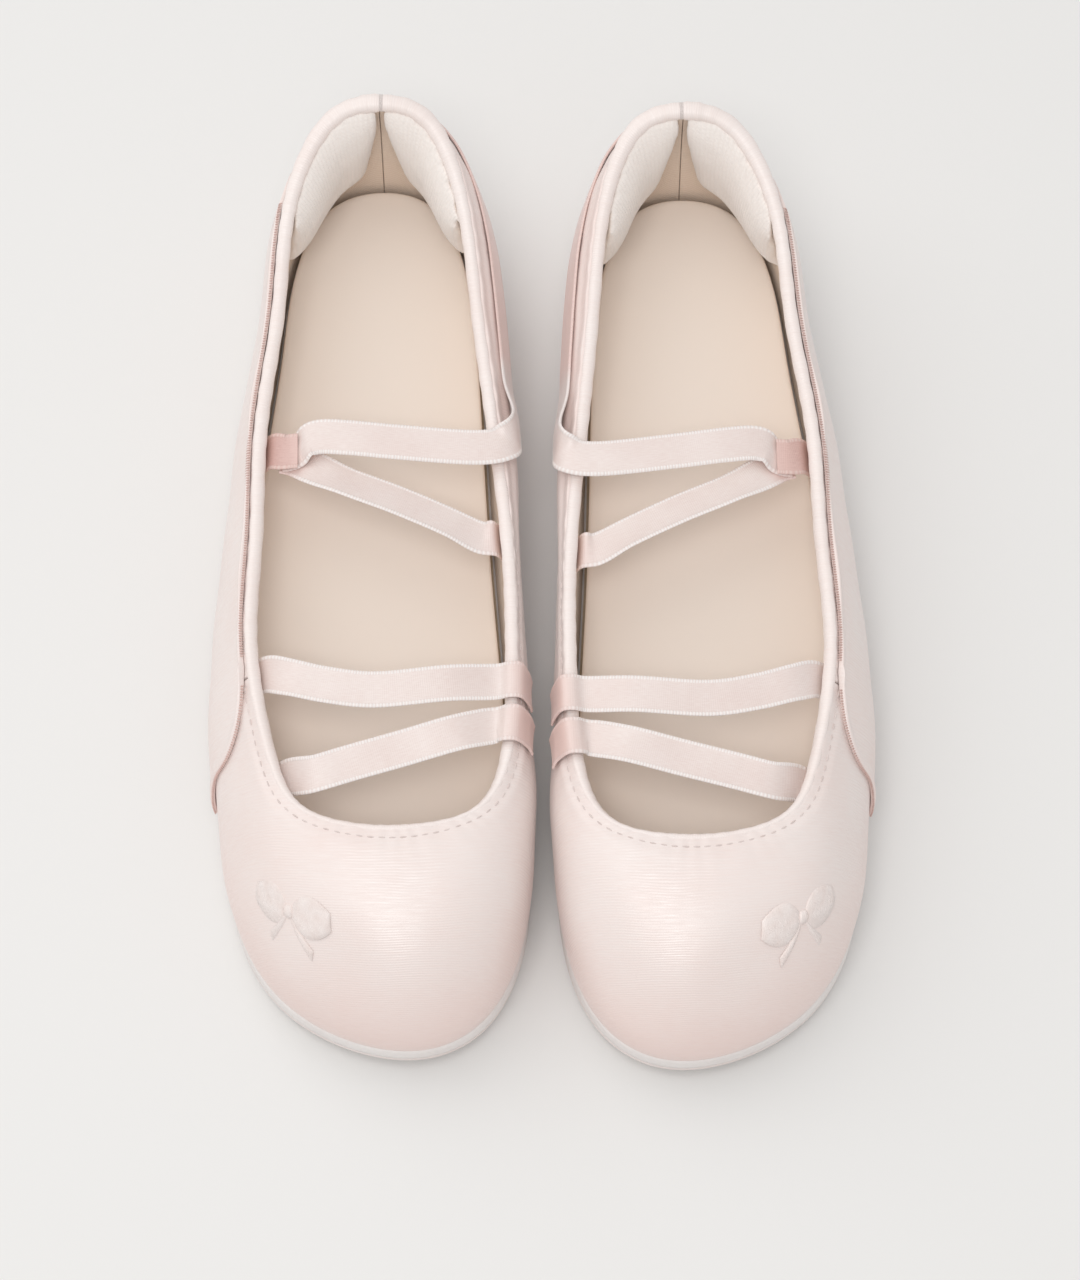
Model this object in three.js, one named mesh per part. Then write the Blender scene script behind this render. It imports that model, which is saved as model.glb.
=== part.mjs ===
// A pair of satin ballet slippers standing side by side, toes towards -Y, heels towards +Y,
// soles on the ground plane.  All sizes are in millimetres.
//
// One slipper is drawn with its inner (big-toe) side towards +X; the other is its mirror image.
// The upper is a skin stretched over ribs that stand round the foot, from the edge of the sole up
// to the edge of the opening.  Every layer of the upper is that skin moved in or out along its
// own normal, so the layers stay parallel with a small gap between them.
import * as THREE from "three";

// ---- Overall sizes -------------------------------------------------------------------------
const SLIPPER_LENGTH = 254;
const BALL_WIDTH = 84;
const COLLAR_HEIGHT = 61;
const SIDE_HEIGHT = 41;
const PAIR_SPACING = 83;
const PAIR_STAGGER = 3.8;

// ---- Sole ----------------------------------------------------------------------------------
const FOREFOOT_WALL = 10.5;
const HEEL_WALL = 16;
const TOE_SPRING = 6;
const HEEL_BEVEL = 4;
const OUTSOLE_THICKNESS = 3.6;
const SOLE_RIM = 1.6;
const TREAD_INSET = 3.2;
const BOARD_THICKNESS = 1.2;
const FOAM_THICKNESS = 3.6;
const COVER_THICKNESS = 0.9;
const FOOTBED_PLAY = 0.9;

// ---- Upper ---------------------------------------------------------------------------------
const GAP = 0.3;
const SATIN_THICKNESS = 1.2;
const STIFFENER_THICKNESS = 0.8;
const LINING_THICKNESS = 0.8;
const OVERLAY_THICKNESS = 1.1;
const OVERLAY_GAP = 0.5;
const PAD_THICKNESS = 7;
const PAD_FOOT = 0.27;
const OUTER_PAD_SPLAY = 0.36;
const INNER_PAD_SPLAY = 0.52;
const OVERLAY_TOE_END = 6.95;
const OVERLAY_TOP_END = 6.15;
const OVERLAY_WAVE = 0.03;
const BINDING_WIDTH = 3.8;
const BINDING_HEIGHT = 2.2;
const SEAM_TAPE_WIDTH = 9;

// ---- Elastic bands -------------------------------------------------------------------------
const BAND_WIDTH = 10;
const BAND_THICKNESS = 0.9;
const BAND_REST = 0.45;
const BAND_SPACING = 1.9;
const FRONT_CROSS_RIB = 13.6;

// ---- Raised motif on the toe ---------------------------------------------------------------
const BOW_LENGTH = 21;
const BOW_HEIGHT = 9;
const BOW_KNOT = 2.4;
const BOW_RAISE = 1;
const MOTIF_RIB = 8.8;
const MOTIF_CLIMB = 0.6;
const MOTIF_TURN = 10;

// Sizes that follow from the ones above.
const LONG = SLIPPER_LENGTH / 254;
const WIDE = BALL_WIDTH / 84;
const STIFFENER_DEPTH = SATIN_THICKNESS + GAP;
const LINING_DEPTH = STIFFENER_DEPTH + STIFFENER_THICKNESS + GAP;
const INSIDE_DEPTH = LINING_DEPTH + LINING_THICKNESS;
const BINDING_DEPTH = INSIDE_DEPTH / 2;
const BINDING_REACH = BINDING_WIDTH / 2 / Math.cos(Math.PI / 6);
const BAND_CLEAR = BAND_REST + BAND_THICKNESS / 2;

// Ribs of the upper, from the centre back round the outer side to the toe (rib 10) and home along
// the inner side.  Columns, for a slipper 254 long and 84 wide:
// foot of the rib across and along; top of the rib across and along; rise of the top from the
// side height (0) to the collar height (1); bulge and climb of the skin as it leaves the sole;
// bulge and drop of the skin just below the opening.
const RIBS = [
  [1, 136.5, 1, 139.8, 1.0, 3.5, 16, 2, 14],
  [-17, 130, -14.5, 134.2, 0.875, 3.5, 16, 2, 14],
  [-27.3, 109, -25, 112, 0.55, 3, 14, 2.5, 12],
  [-31, 82, -28.2, 84, 0.25, 3.5, 11, 3, 10],
  [-35.2, 52, -32.6, 53, 0.1, 5, 9, 3.5, 9],
  [-39.2, 18, -33.8, 22, 0.02, 6, 9, 4.5, 9],
  [-41.6, -18, -35, -8, 0, 6.5, 9, 5, 8],
  [-41.8, -48, -30.4, -35.5, 0.02, 4.5, 9, 8, 6],
  [-36, -80, -23.2, -52.5, 0.1, 3, 11, 14, 2],
  [-19, -102, -10.5, -59.6, 0.175, 2, 13, 22, -1],
  [6.5, -110.6, 4, -61.4, 0.2, 1.5, 14, 27, -2],
  [26.5, -101, 18.2, -59.2, 0.175, 2, 13, 21, -1],
  [36.2, -77.5, 28.8, -52.2, 0.1, 2.5, 11, 12, 3],
  [37.4, -48, 34.6, -36, 0.02, 3, 10, 6, 7],
  [35.6, -14, 35.8, -9, 0, 3, 9, 3, 9],
  [33.2, 20, 35, 20, 0, 3.4, 9, 2.4, 9],
  [31.6, 54, 31.8, 51, 0.08, 3.6, 9, 2.4, 9],
  [30.2, 84, 28, 84, 0.25, 4, 11, 2.6, 10],
  [27, 110, 24.6, 112, 0.55, 4, 14, 2.6, 12],
  [17.8, 130, 16, 134, 0.875, 3.5, 16, 2, 14],
];
const RIB_COUNT = RIBS.length;
const TOE_RIB = 10;

// Where the panels of the upper meet, counted in ribs from the centre back.
const OUTER_SEAM = 19 / 3;
const INNER_SEAM = 41 / 3;

// ---- Small tools ---------------------------------------------------------------------------

/** Eases from 0 to 1 as `value` goes from `low` to `high`. */
function ease(value, low, high) {
  const t = Math.min(1, Math.max(0, (value - low) / (high - low)));
  return t * t * (3 - 2 * t);
}

/** Whole list of evenly spaced numbers from `from` to `to`. */
function steps(from, to, count) {
  return Array.from({ length: count + 1 }, (_, i) => from + ((to - from) * i) / count);
}

/** Weights of a closed smooth curve that passes through every given value. */
function ringWeights(values) {
  const count = values.length;
  const weights = values.slice();
  for (let pass = 0; pass < 40; pass += 1) {
    for (let i = 0; i < count; i += 1) {
      const before = weights[(i + count - 1) % count];
      const after = weights[(i + 1) % count];
      weights[i] += values[i] - (before + 4 * weights[i] + after) / 6;
    }
  }
  return weights;
}

/** Value of a closed smooth curve at `place`, counted in control values. */
function ringValue(weights, place) {
  const count = weights.length;
  const whole = Math.floor(place);
  const f = place - whole;
  const pick = (k) => weights[(((whole + k) % count) + count) % count];
  return (
    (pick(-1) * (1 - f) ** 3 +
      pick(0) * (3 * f ** 3 - 6 * f ** 2 + 4) +
      pick(1) * (-3 * f ** 3 + 3 * f ** 2 + 3 * f + 1) +
      pick(2) * f ** 3) /
    6
  );
}

// ---- Heights of the sole -------------------------------------------------------------------

/** How far the sole lifts off the ground at a place along the slipper. */
function soleBottom(along) {
  const toe = Math.max(0, -65 * LONG - along) / (45 * LONG);
  const heel = Math.max(0, along - 116 * LONG) / (24 * LONG);
  return TOE_SPRING * toe ** 2 + HEEL_BEVEL * heel ** 2;
}

/** Height of the top of the sole, where the upper starts. */
function soleTop(along) {
  const toe = Math.max(0, -65 * LONG - along) / (45 * LONG);
  const wedge = (HEEL_WALL - FOREFOOT_WALL) * ease(along, -40 * LONG, 75 * LONG);
  return FOREFOOT_WALL + wedge + 0.8 * TOE_SPRING * toe ** 2;
}

// ---- The skin of the upper -----------------------------------------------------------------

const COLUMN = RIBS[0].map((_, column) => ringWeights(RIBS.map((rib) => rib[column])));

/** Foot of the rib at `place`, at the edge of the sole. */
function ribFoot(place) {
  const along = ringValue(COLUMN[1], place) * LONG;
  return new THREE.Vector3(ringValue(COLUMN[0], place) * WIDE, along, soleTop(along));
}

/** Top of the rib at `place`, on the edge of the opening. */
function ribTop(place) {
  return new THREE.Vector3(
    ringValue(COLUMN[2], place) * WIDE,
    ringValue(COLUMN[3], place) * LONG,
    SIDE_HEIGHT + ringValue(COLUMN[4], place) * (COLLAR_HEIGHT - SIDE_HEIGHT),
  );
}

/** Level direction pointing away from the foot, square to the edge of the sole. */
function outward(place) {
  const edge = ribFoot(place + 0.02).sub(ribFoot(place - 0.02));
  return new THREE.Vector3(edge.y, -edge.x, 0).normalize();
}

/** Point of the outer skin: `place` round the slipper, `climb` 0 at the sole, 1 at the opening. */
function skin(place, climb) {
  const away = outward(place);
  const up = new THREE.Vector3(0, 0, 1);
  const foot = ribFoot(place);
  const top = ribTop(place);
  const low = foot.clone().addScaledVector(away, ringValue(COLUMN[5], place) * LONG);
  low.addScaledVector(up, ringValue(COLUMN[6], place));
  const high = top.clone().addScaledVector(away, ringValue(COLUMN[7], place) * LONG);
  high.addScaledVector(up, -ringValue(COLUMN[8], place));
  return new THREE.CubicBezierCurve3(foot, low, high, top).getPoint(climb);
}

/** Directions of the skin: along the slipper's edge, up the rib, and out of the skin. */
function skinFrame(place, climb) {
  const step = 0.01;
  const round = skin(place + step, climb).sub(skin(place - step, climb)).normalize();
  const rise = skin(place, Math.min(1, climb + step)).sub(skin(place, Math.max(0, climb - step)));
  rise.normalize();
  const out = new THREE.Vector3().crossVectors(round, rise).normalize();
  return { round, rise, out };
}

/** Point at a distance outside (+) or inside (-) the skin. */
function layerPoint(place, climb, distance) {
  return skin(place, climb).addScaledVector(skinFrame(place, climb).out, distance);
}

/** Part of a rib spacing that covers `length` mm round the slipper. */
function ribsFor(length, place, climb) {
  return (length * 0.02) / skin(place + 0.01, climb).distanceTo(skin(place - 0.01, climb));
}

// ---- Closed bodies -------------------------------------------------------------------------

/** A closed body from its corner points and triangles, faces turned outwards. */
function body(points, faces) {
  let volume = 0;
  for (const [a, b, c] of faces) {
    volume += points[a].dot(new THREE.Vector3().crossVectors(points[b], points[c]));
  }
  const order = volume < 0 ? faces.map(([a, b, c]) => [a, c, b]) : faces;
  const geometry = new THREE.BufferGeometry();
  geometry.setAttribute(
    "position",
    new THREE.Float32BufferAttribute(points.flatMap((p) => [p.x, p.y, p.z]), 3),
  );
  geometry.setIndex(order.flat());
  return geometry;
}

/** A sheet with thickness: two matching grids of points joined round their edges. */
function sheet(front, back) {
  const rows = front.length;
  const columns = front[0].length;
  const points = [...front.flat(), ...back.flat()];
  const half = rows * columns;
  const at = (i, j) => i * columns + j;
  const faces = [];
  for (let i = 0; i + 1 < rows; i += 1) {
    for (let j = 0; j + 1 < columns; j += 1) {
      const [a, b, c, d] = [at(i, j), at(i + 1, j), at(i + 1, j + 1), at(i, j + 1)];
      faces.push([a, b, c], [a, c, d], [half + a, half + c, half + b], [half + a, half + d, half + c]);
    }
  }
  const border = [];
  for (let j = 0; j + 1 < columns; j += 1) border.push(at(0, j));
  for (let i = 0; i + 1 < rows; i += 1) border.push(at(i, columns - 1));
  for (let j = columns - 1; j > 0; j -= 1) border.push(at(rows - 1, j));
  for (let i = rows - 1; i > 0; i -= 1) border.push(at(i, 0));
  border.forEach((a, k) => {
    const b = border[(k + 1) % border.length];
    faces.push([a, b, half + b], [a, half + b, half + a]);
  });
  return body(points, faces);
}

/** A body swept through closed sections of equal size; joined end to end when `closed`. */
function sweep(sections, closed) {
  const count = sections.length;
  const size = sections[0].length;
  const points = sections.flat();
  const faces = [];
  for (let i = 0; i < (closed ? count : count - 1); i += 1) {
    const next = ((i + 1) % count) * size;
    for (let j = 0; j < size; j += 1) {
      const k = (j + 1) % size;
      faces.push([i * size + j, next + j, next + k], [i * size + j, next + k, i * size + k]);
    }
  }
  if (!closed) {
    const last = (count - 1) * size;
    for (let j = 1; j + 1 < size; j += 1) {
      faces.push([0, j, j + 1], [last, last + j + 1, last + j]);
    }
  }
  return body(points, faces);
}

// ---- Panels of the upper -------------------------------------------------------------------

/** Places round the slipper where the skin is divided: closer together where it turns more. */
function divisions(from, to) {
  const all = [];
  for (let rib = -3; rib <= RIB_COUNT; rib += 1) {
    const back = ((rib % RIB_COUNT) + RIB_COUNT) % RIB_COUNT;
    const side = (back >= 3 && back < 6) || (back >= 14 && back < 17);
    const parts = side ? 2 : 3;
    for (let k = 0; k < parts; k += 1) all.push(rib + k / parts);
  }
  const inside = all.filter((place) => place > from + 0.12 && place < to - 0.12);
  return [from, ...inside, to];
}

/** A panel lying between two depths of the upper. */
function panel(places, climbs, outerAt, thickness) {
  const grid = (distance) =>
    places.map((place) => climbs.map((climb) => layerPoint(place, climb, distance)));
  return sheet(grid(outerAt), grid(outerAt - thickness));
}

const VAMP_CLIMBS = steps(0, 1, 7);
const QUARTER_CLIMBS = steps(0, 1, 6);

/** The three panels of one layer: toe, outer side and inner side, with seam gaps between them. */
function layerOfPanels(depth, thickness) {
  const seam = (place) => ribsFor(GAP / 2, place, 0.5);
  const outer = OUTER_SEAM;
  const inner = INNER_SEAM;
  return {
    toe: panel(divisions(outer + seam(outer), inner - seam(inner)), VAMP_CLIMBS, -depth, thickness),
    outer: panel(divisions(2 * seam(0), outer - seam(outer)), QUARTER_CLIMBS, -depth, thickness),
    inner: panel(
      divisions(inner + seam(inner), RIB_COUNT - 2 * seam(0)),
      QUARTER_CLIMBS,
      -depth,
      thickness,
    ),
  };
}

/** Stiff cap that holds the round of the toe, between satin and lining. */
function toePuff() {
  const places = divisions(TOE_RIB - 2.34, TOE_RIB + 2.34);
  return panel(places, steps(0, 5 / 7, 5), -STIFFENER_DEPTH, STIFFENER_THICKNESS);
}

/** Stiff cup that holds the heel upright, between the outer panels and the lining. */
function heelCounter() {
  const places = divisions(-2.34, 2.34);
  return panel(places, steps(0, 4 / 6, 4), -STIFFENER_DEPTH, STIFFENER_THICKNESS);
}

/** Applied side piece: from the heel along the opening, its front edge waving down to the sole. */
function lateralOverlay() {
  const climbs = steps(0, 1, 8).map((s) => 0.965 - 0.925 * (1 - s) ** 1.6);
  const front = (climb) => {
    const sweep = OVERLAY_TOE_END - (OVERLAY_TOE_END - OVERLAY_TOP_END) * climb ** 8;
    return sweep + OVERLAY_WAVE * Math.sin(climb * Math.PI * 4);
  };
  const back = (climb) => 1.42 + 0.5 * ease(climb, 0.9, 0.2);
  const grid = (distance) =>
    steps(0, 1, 20).map((s) =>
      climbs.map((climb) => {
        const place = back(climb) + (front(climb) - back(climb)) * s;
        return layerPoint(place, climb, distance);
      }),
    );
  return sheet(grid(OVERLAY_GAP + OVERLAY_THICKNESS), grid(OVERLAY_GAP));
}

/** Narrow tape over the centre-back seam. */
function heelSeamTape() {
  const half = ribsFor(SEAM_TAPE_WIDTH / 2, 0, 0.6);
  return panel(steps(-half, half, 4), steps(0.05, 0.97, 7), GAP + SATIN_THICKNESS / 2, SATIN_THICKNESS / 2);
}

/** One soft collar cushion; `side` is -1 on the outer side of the foot and 1 on the inner side. */
function collarPad(side) {
  const climbs = steps(PAD_FOOT, 0.95, 6);
  const splay = side < 0 ? OUTER_PAD_SPLAY : INNER_PAD_SPLAY;
  const rear = (climb) => 0.08 + splay * ease(climb, 0.98, PAD_FOOT);
  const front = 2.2;
  const count = 8;
  const places = (climb) => steps(rear(climb), front, count);
  const grid = (inner) =>
    steps(0, 1, count).map((s, i) =>
      climbs.map((climb, j) => {
        const swell = Math.sin(Math.PI * (0.08 + 0.84 * s)) * Math.sin(Math.PI * (0.1 + (0.8 * j) / 6));
        const depth = INSIDE_DEPTH + GAP + (inner ? 0.8 + (PAD_THICKNESS - 0.8) * swell : 0);
        return layerPoint(-side * places(climb)[i], climb, -depth);
      }),
    );
  return sheet(grid(false), grid(true));
}

/** Folded binding running all the way round the edge of the opening. */
function toplineBinding() {
  const sections = divisions(0, RIB_COUNT).slice(0, -1).map((place) => {
    const { rise, out } = skinFrame(place, 1);
    const centre = layerPoint(place, 1, -BINDING_DEPTH);
    centre.addScaledVector(rise, GAP + BINDING_HEIGHT / 2);
    return steps(0, 5 / 6, 5).map((turn) => {
      const angle = (turn + 1 / 12) * 2 * Math.PI;
      const across = Math.cos(angle) * BINDING_REACH;
      const deep = (Math.sin(angle) * BINDING_HEIGHT) / 2;
      return centre.clone().addScaledVector(out, across).addScaledVector(rise, deep);
    });
  });
  return sweep(sections, true);
}

// ---- Elastic bands -------------------------------------------------------------------------

/** A flat band through stations of a centre point and the direction of its width. */
function band(stations, count) {
  const centres = new THREE.CatmullRomCurve3(stations.map((s) => s[0]));
  const widths = new THREE.CatmullRomCurve3(stations.map((s) => s[1].clone().normalize()));
  const sections = steps(0, 1, count).map((t) => {
    const centre = centres.getPoint(t);
    const tangent = centres.getTangent(t);
    const width = widths.getPoint(t);
    width.addScaledVector(tangent, -width.dot(tangent)).normalize();
    const through = new THREE.Vector3().crossVectors(tangent, width);
    return [[-1, -1], [1, -1], [1, 1], [-1, 1]].map(([w, h]) =>
      centre
        .clone()
        .addScaledVector(width, (w * BAND_WIDTH) / 2)
        .addScaledVector(through, (h * BAND_THICKNESS) / 2),
    );
  });
  return sweep(sections, false);
}

/** A place in the open above the foot, in the sizes of the slipper. */
function above(across, along, height) {
  return new THREE.Vector3(across * WIDE, along * LONG, SIDE_HEIGHT + height);
}

const ALONG = new THREE.Vector3(0, 1, 0);
const UPRIGHT = new THREE.Vector3(0, 0, 1);

/** Station on the inside of the upper, the band lying against the lining. */
function inside(place, climb, extra = 0) {
  const width = skinFrame(place, climb).round;
  if (width.y < 0) width.negate();
  return [layerPoint(place, climb, -(INSIDE_DEPTH + BAND_CLEAR + extra)), width];
}

/** Station on the outside of the upper, the band lying against the satin. */
function outside(place, climb, extra = 0) {
  const width = skinFrame(place, climb).round;
  if (width.y < 0) width.negate();
  return [layerPoint(place, climb, BAND_CLEAR + extra), width];
}

/** Station round the binding: 0 degrees outside it, 90 over the top, 180 inside the opening. */
function roundBinding(place, degrees, extra = 0) {
  const { rise, out, round } = skinFrame(place, 1);
  const angle = (degrees * Math.PI) / 180;
  const centre = layerPoint(place, 1, -BINDING_DEPTH);
  centre.addScaledVector(rise, GAP + BINDING_HEIGHT / 2);
  centre.addScaledVector(out, Math.cos(angle) * (BINDING_REACH + BAND_CLEAR + extra));
  centre.addScaledVector(rise, Math.sin(angle) * (BINDING_HEIGHT / 2 + BAND_CLEAR + extra));
  if (round.y < 0) round.negate();
  return [centre, round];
}

/** Rear band: ribbon on edge from the heel, folded over the inner edge and straight across. */
function rearCrossBand() {
  const lean = new THREE.Vector3(-0.12, 0, 1);
  return band(
    [
      [layerPoint(19.0, 0.78, BAND_CLEAR + 0.1), lean],
      [layerPoint(18.7, 0.79, BAND_CLEAR + 0.3), lean],
      [layerPoint(18.2, 0.8, BAND_CLEAR + 0.9), lean],
      [layerPoint(17.6, 0.81, BAND_CLEAR + 1.6), UPRIGHT],
      [layerPoint(17.0, 0.83, BAND_CLEAR + 2.0), UPRIGHT],
      [layerPoint(16.4, 0.85, BAND_CLEAR + 2.0), UPRIGHT],
      [above(37.2, 55.5, 2.4), UPRIGHT],
      [above(37.5, 50.5, 3.2), new THREE.Vector3(0, 0.5, 0.87)],
      [above(36.4, 45.4, 4.8), new THREE.Vector3(-0.1, 0.9, 0.4)],
      [above(33, 42.8, 6.2), ALONG],
      [above(27, 42.8, 6.6), ALONG],
      [above(4.6, 45.4, 6), ALONG],
      [above(-12, 47.4, 5.4), ALONG],
      [above(-20.5, 47.8, 5), ALONG],
    ],
    44,
  );
}

/** Short elastic tab inside the outer edge, under the meeting ends of the two rear bands. */
function bandAnchorTab() {
  return band(
    [
      inside(4.3, 0.72),
      inside(4.3, 0.85, 0.2),
      roundBinding(4.3, 190, 0.5),
      [above(-22.6, 43.6, 1.2), ALONG],
      [above(-18.5, 43.4, 1.7), ALONG],
      [above(-14.5, 43.4, 1.7), ALONG],
    ],
    10,
  );
}

/** Second rear band: from the tab forward across to the inside of the inner edge. */
function rearDiagonalBand() {
  const slant = new THREE.Vector3(0.36, 0.86, -0.34);
  return band(
    [
      [above(-19.5, 38.6, 3.6), new THREE.Vector3(0.38, 0.92, -0.04)],
      [above(-8, 34.6, 3.6), slant],
      [above(4.7, 30.0, 3), slant],
      [above(18, 24.2, 1.6), slant],
      [above(26.6, 20.4, -0.4), new THREE.Vector3(0.2, 0.96, -0.15)],
      roundBinding(15.02, 192, 0.6),
      inside(15.02, 0.84),
      inside(15.02, 0.68),
    ],
    18,
  );
}

/** Front band: from inside the outer edge straight across and down over the inner edge. */
function frontCrossBand() {
  return band(
    [
      inside(6.42, 0.66),
      inside(6.42, 0.84, 0.2),
      roundBinding(6.44, 180, 0.4),
      [above(-23.5, -19.4, 1.2), new THREE.Vector3(-0.12, 1, 0)],
      [above(-14, -21.4, 2.4), ALONG],
      [above(-2.2, -22.2, 2.8), ALONG],
      [above(18.2, -20.8, 3.6), ALONG],
      roundBinding(FRONT_CROSS_RIB, 135, 0.4),
      roundBinding(FRONT_CROSS_RIB, 75, 0.3),
      roundBinding(FRONT_CROSS_RIB, 20, 0.3),
      outside(FRONT_CROSS_RIB, 0.84, 0.5),
      outside(FRONT_CROSS_RIB, 0.64, 0.2),
    ],
    22,
  );
}

/** Second front band: from inside the outer edge of the throat slantwise over the inner edge. */
function frontDiagonalBand() {
  const slant = new THREE.Vector3(-0.26, 0.97, 0);
  const rib = FRONT_CROSS_RIB - ribsFor(BAND_WIDTH + BAND_SPACING, FRONT_CROSS_RIB - 0.2, 1);
  return band(
    [
      inside(7.5, 0.7, 0.7),
      inside(7.48, 0.86, 0.8),
      roundBinding(7.46, 180, 0.9),
      [above(-17, -45, 1.4), slant],
      [above(-8, -42.6, 2), slant],
      [above(5.6, -38.9, 2.4), slant],
      [above(20, -35, 3.2), slant],
      roundBinding(rib, 135, 0.6),
      roundBinding(rib, 75, 0.5),
      roundBinding(rib, 20, 0.5),
      outside(rib, 0.84, 0.7),
      outside(rib, 0.64, 0.4),
    ],
    22,
  );
}

// ---- Sole and footbed ----------------------------------------------------------------------

const SOLE_PLACES = (() => {
  const turning = (rib) => rib < 3 || rib >= 17 || (rib >= 7 && rib < 13);
  const all = [];
  for (let rib = 0; rib < RIB_COUNT; rib += 1) {
    const parts = turning(rib) ? 3 : 2;
    for (let k = 0; k < parts; k += 1) all.push(rib + k / parts);
  }
  return all;
})();

/** Edge of the sole moved out by `distance`, at heights given by `height(along)`. */
function soleRing(distance, height) {
  return SOLE_PLACES.map((place) => {
    const point = ribFoot(place).addScaledVector(outward(place), distance);
    point.z = height(point.y);
    return point;
  });
}

/** A solid slab through rings from its underside to its top, both ends closed by rows across. */
function slab(rings, bottom, top) {
  const count = SOLE_PLACES.length;
  const points = rings.flat();
  const faces = [];
  for (let i = 0; i + 1 < rings.length; i += 1) {
    for (let j = 0; j < count; j += 1) {
      const k = (j + 1) % count;
      const [a, b] = [i * count, (i + 1) * count];
      faces.push([a + j, a + k, b + k], [a + j, b + k, b + j]);
    }
  }
  const cap = (ring, start, height, turn) => {
    const half = count / 2;
    const rows = [];
    for (let j = 1; j < half; j += 1) {
      const middle = ring[j].clone().lerp(ring[count - j], 0.5);
      middle.z = height(middle.y);
      points.push(middle);
      rows.push([start + j, points.length - 1, start + count - j]);
    }
    const add = (a, b, c) => faces.push(turn ? [a, c, b] : [a, b, c]);
    add(start, rows[0][0], rows[0][1]);
    add(start, rows[0][1], rows[0][2]);
    for (let r = 0; r + 1 < rows.length; r += 1) {
      for (let s = 0; s < 2; s += 1) {
        add(rows[r][s], rows[r + 1][s], rows[r + 1][s + 1]);
        add(rows[r][s], rows[r + 1][s + 1], rows[r][s + 1]);
      }
    }
    const end = rows[rows.length - 1];
    add(end[0], start + half, end[1]);
    add(end[1], start + half, end[2]);
  };
  cap(rings[0], 0, bottom, true);
  cap(rings[rings.length - 1], (rings.length - 1) * count, top, false);
  return body(points, faces);
}

/** Rubber outsole: flat tread with rounded-under edges, lifting at toe and heel. */
function outsole() {
  const raised = (lift) => (along) => soleBottom(along) + lift;
  return slab(
    [
      soleRing(SOLE_RIM - TREAD_INSET, raised(0)),
      soleRing(SOLE_RIM - TREAD_INSET * 0.3, raised(1.1)),
      soleRing(SOLE_RIM, raised(OUTSOLE_THICKNESS)),
    ],
    raised(0),
    raised(OUTSOLE_THICKNESS),
  );
}

/** Foam midsole wedge, its wall showing as a pale rim round the slipper. */
function midsole() {
  const low = (along) => soleBottom(along) + OUTSOLE_THICKNESS + GAP;
  const high = (along) => soleTop(along) - GAP;
  return slab([soleRing(SOLE_RIM, low), soleRing(SOLE_RIM - 0.5, high)], low, high);
}

/** A flat layer of the given thickness lying inside the upper, `lift` above the sole's top. */
function insideLayer(inset, lift, thickness, round) {
  const at = (extra) => (along) => soleTop(along) + lift + extra;
  const rings = [soleRing(-inset, at(0)), soleRing(-inset - round, at(thickness))];
  return slab(rings, at(0), at(thickness));
}

const BOARD_LIFT = 0;
const FOAM_LIFT = BOARD_THICKNESS + GAP;
const COVER_LIFT = FOAM_LIFT + FOAM_THICKNESS + GAP;

// ---- Raised motif --------------------------------------------------------------------------

/** Small bow worked in raised satin stitch on the outer side of the toe. */
function toeMotif() {
  const rows = 12;
  const columns = 4;
  const turn = (MOTIF_TURN * Math.PI) / 180;
  const perRib = 1 / ribsFor(1, MOTIF_RIB, MOTIF_CLIMB);
  const perClimb = skin(MOTIF_RIB, MOTIF_CLIMB + 0.05).distanceTo(skin(MOTIF_RIB, MOTIF_CLIMB - 0.05)) * 10;
  const half = (s) => BOW_KNOT / 2 + ((BOW_HEIGHT - BOW_KNOT) / 2) * Math.sin(2.9 * Math.abs(s) ** 1.3);
  const grid = (high) =>
    steps(-1, 1, rows).map((s) =>
      steps(-1, 1, columns).map((w) => {
        const along = (s * BOW_LENGTH) / 2;
        const across = w * half(s);
        const place = MOTIF_RIB + (along * Math.cos(turn) - across * Math.sin(turn)) / perRib;
        const climb = MOTIF_CLIMB + (along * Math.sin(turn) + across * Math.cos(turn)) / perClimb;
        const swell = high ? GAP + 0.4 + (BOW_RAISE - 0.4) * (1 - w * w) : GAP;
        return layerPoint(place, climb, swell);
      }),
    );
  return sheet(grid(true), grid(false));
}

// ---- Finishes ------------------------------------------------------------------------------

const FINISHES = {
  satin: { color: 0xf0dcd6, roughness: 0.45, metalness: 0 },
  rubber: { color: 0xf1e6e0, roughness: 0.6, metalness: 0 },
  foam: { color: 0xf3e9e3, roughness: 0.75, metalness: 0 },
  footbed_foam: { color: 0x6a5c4e, roughness: 0.9, metalness: 0 },
  footbed_textile: { color: 0xdcc4b0, roughness: 0.9, metalness: 0 },
  board: { color: 0xcdbca8, roughness: 0.9, metalness: 0 },
  stiffener: { color: 0xe8e0d6, roughness: 0.8, metalness: 0 },
  lining: { color: 0xe9ddd2, roughness: 0.9, metalness: 0 },
  knit: { color: 0xf4ede8, roughness: 0.95, metalness: 0 },
  elastic: { color: 0xeadad2, roughness: 0.5, metalness: 0 },
  embroidery: { color: 0xedcfc8, roughness: 0.4, metalness: 0 },
};

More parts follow.
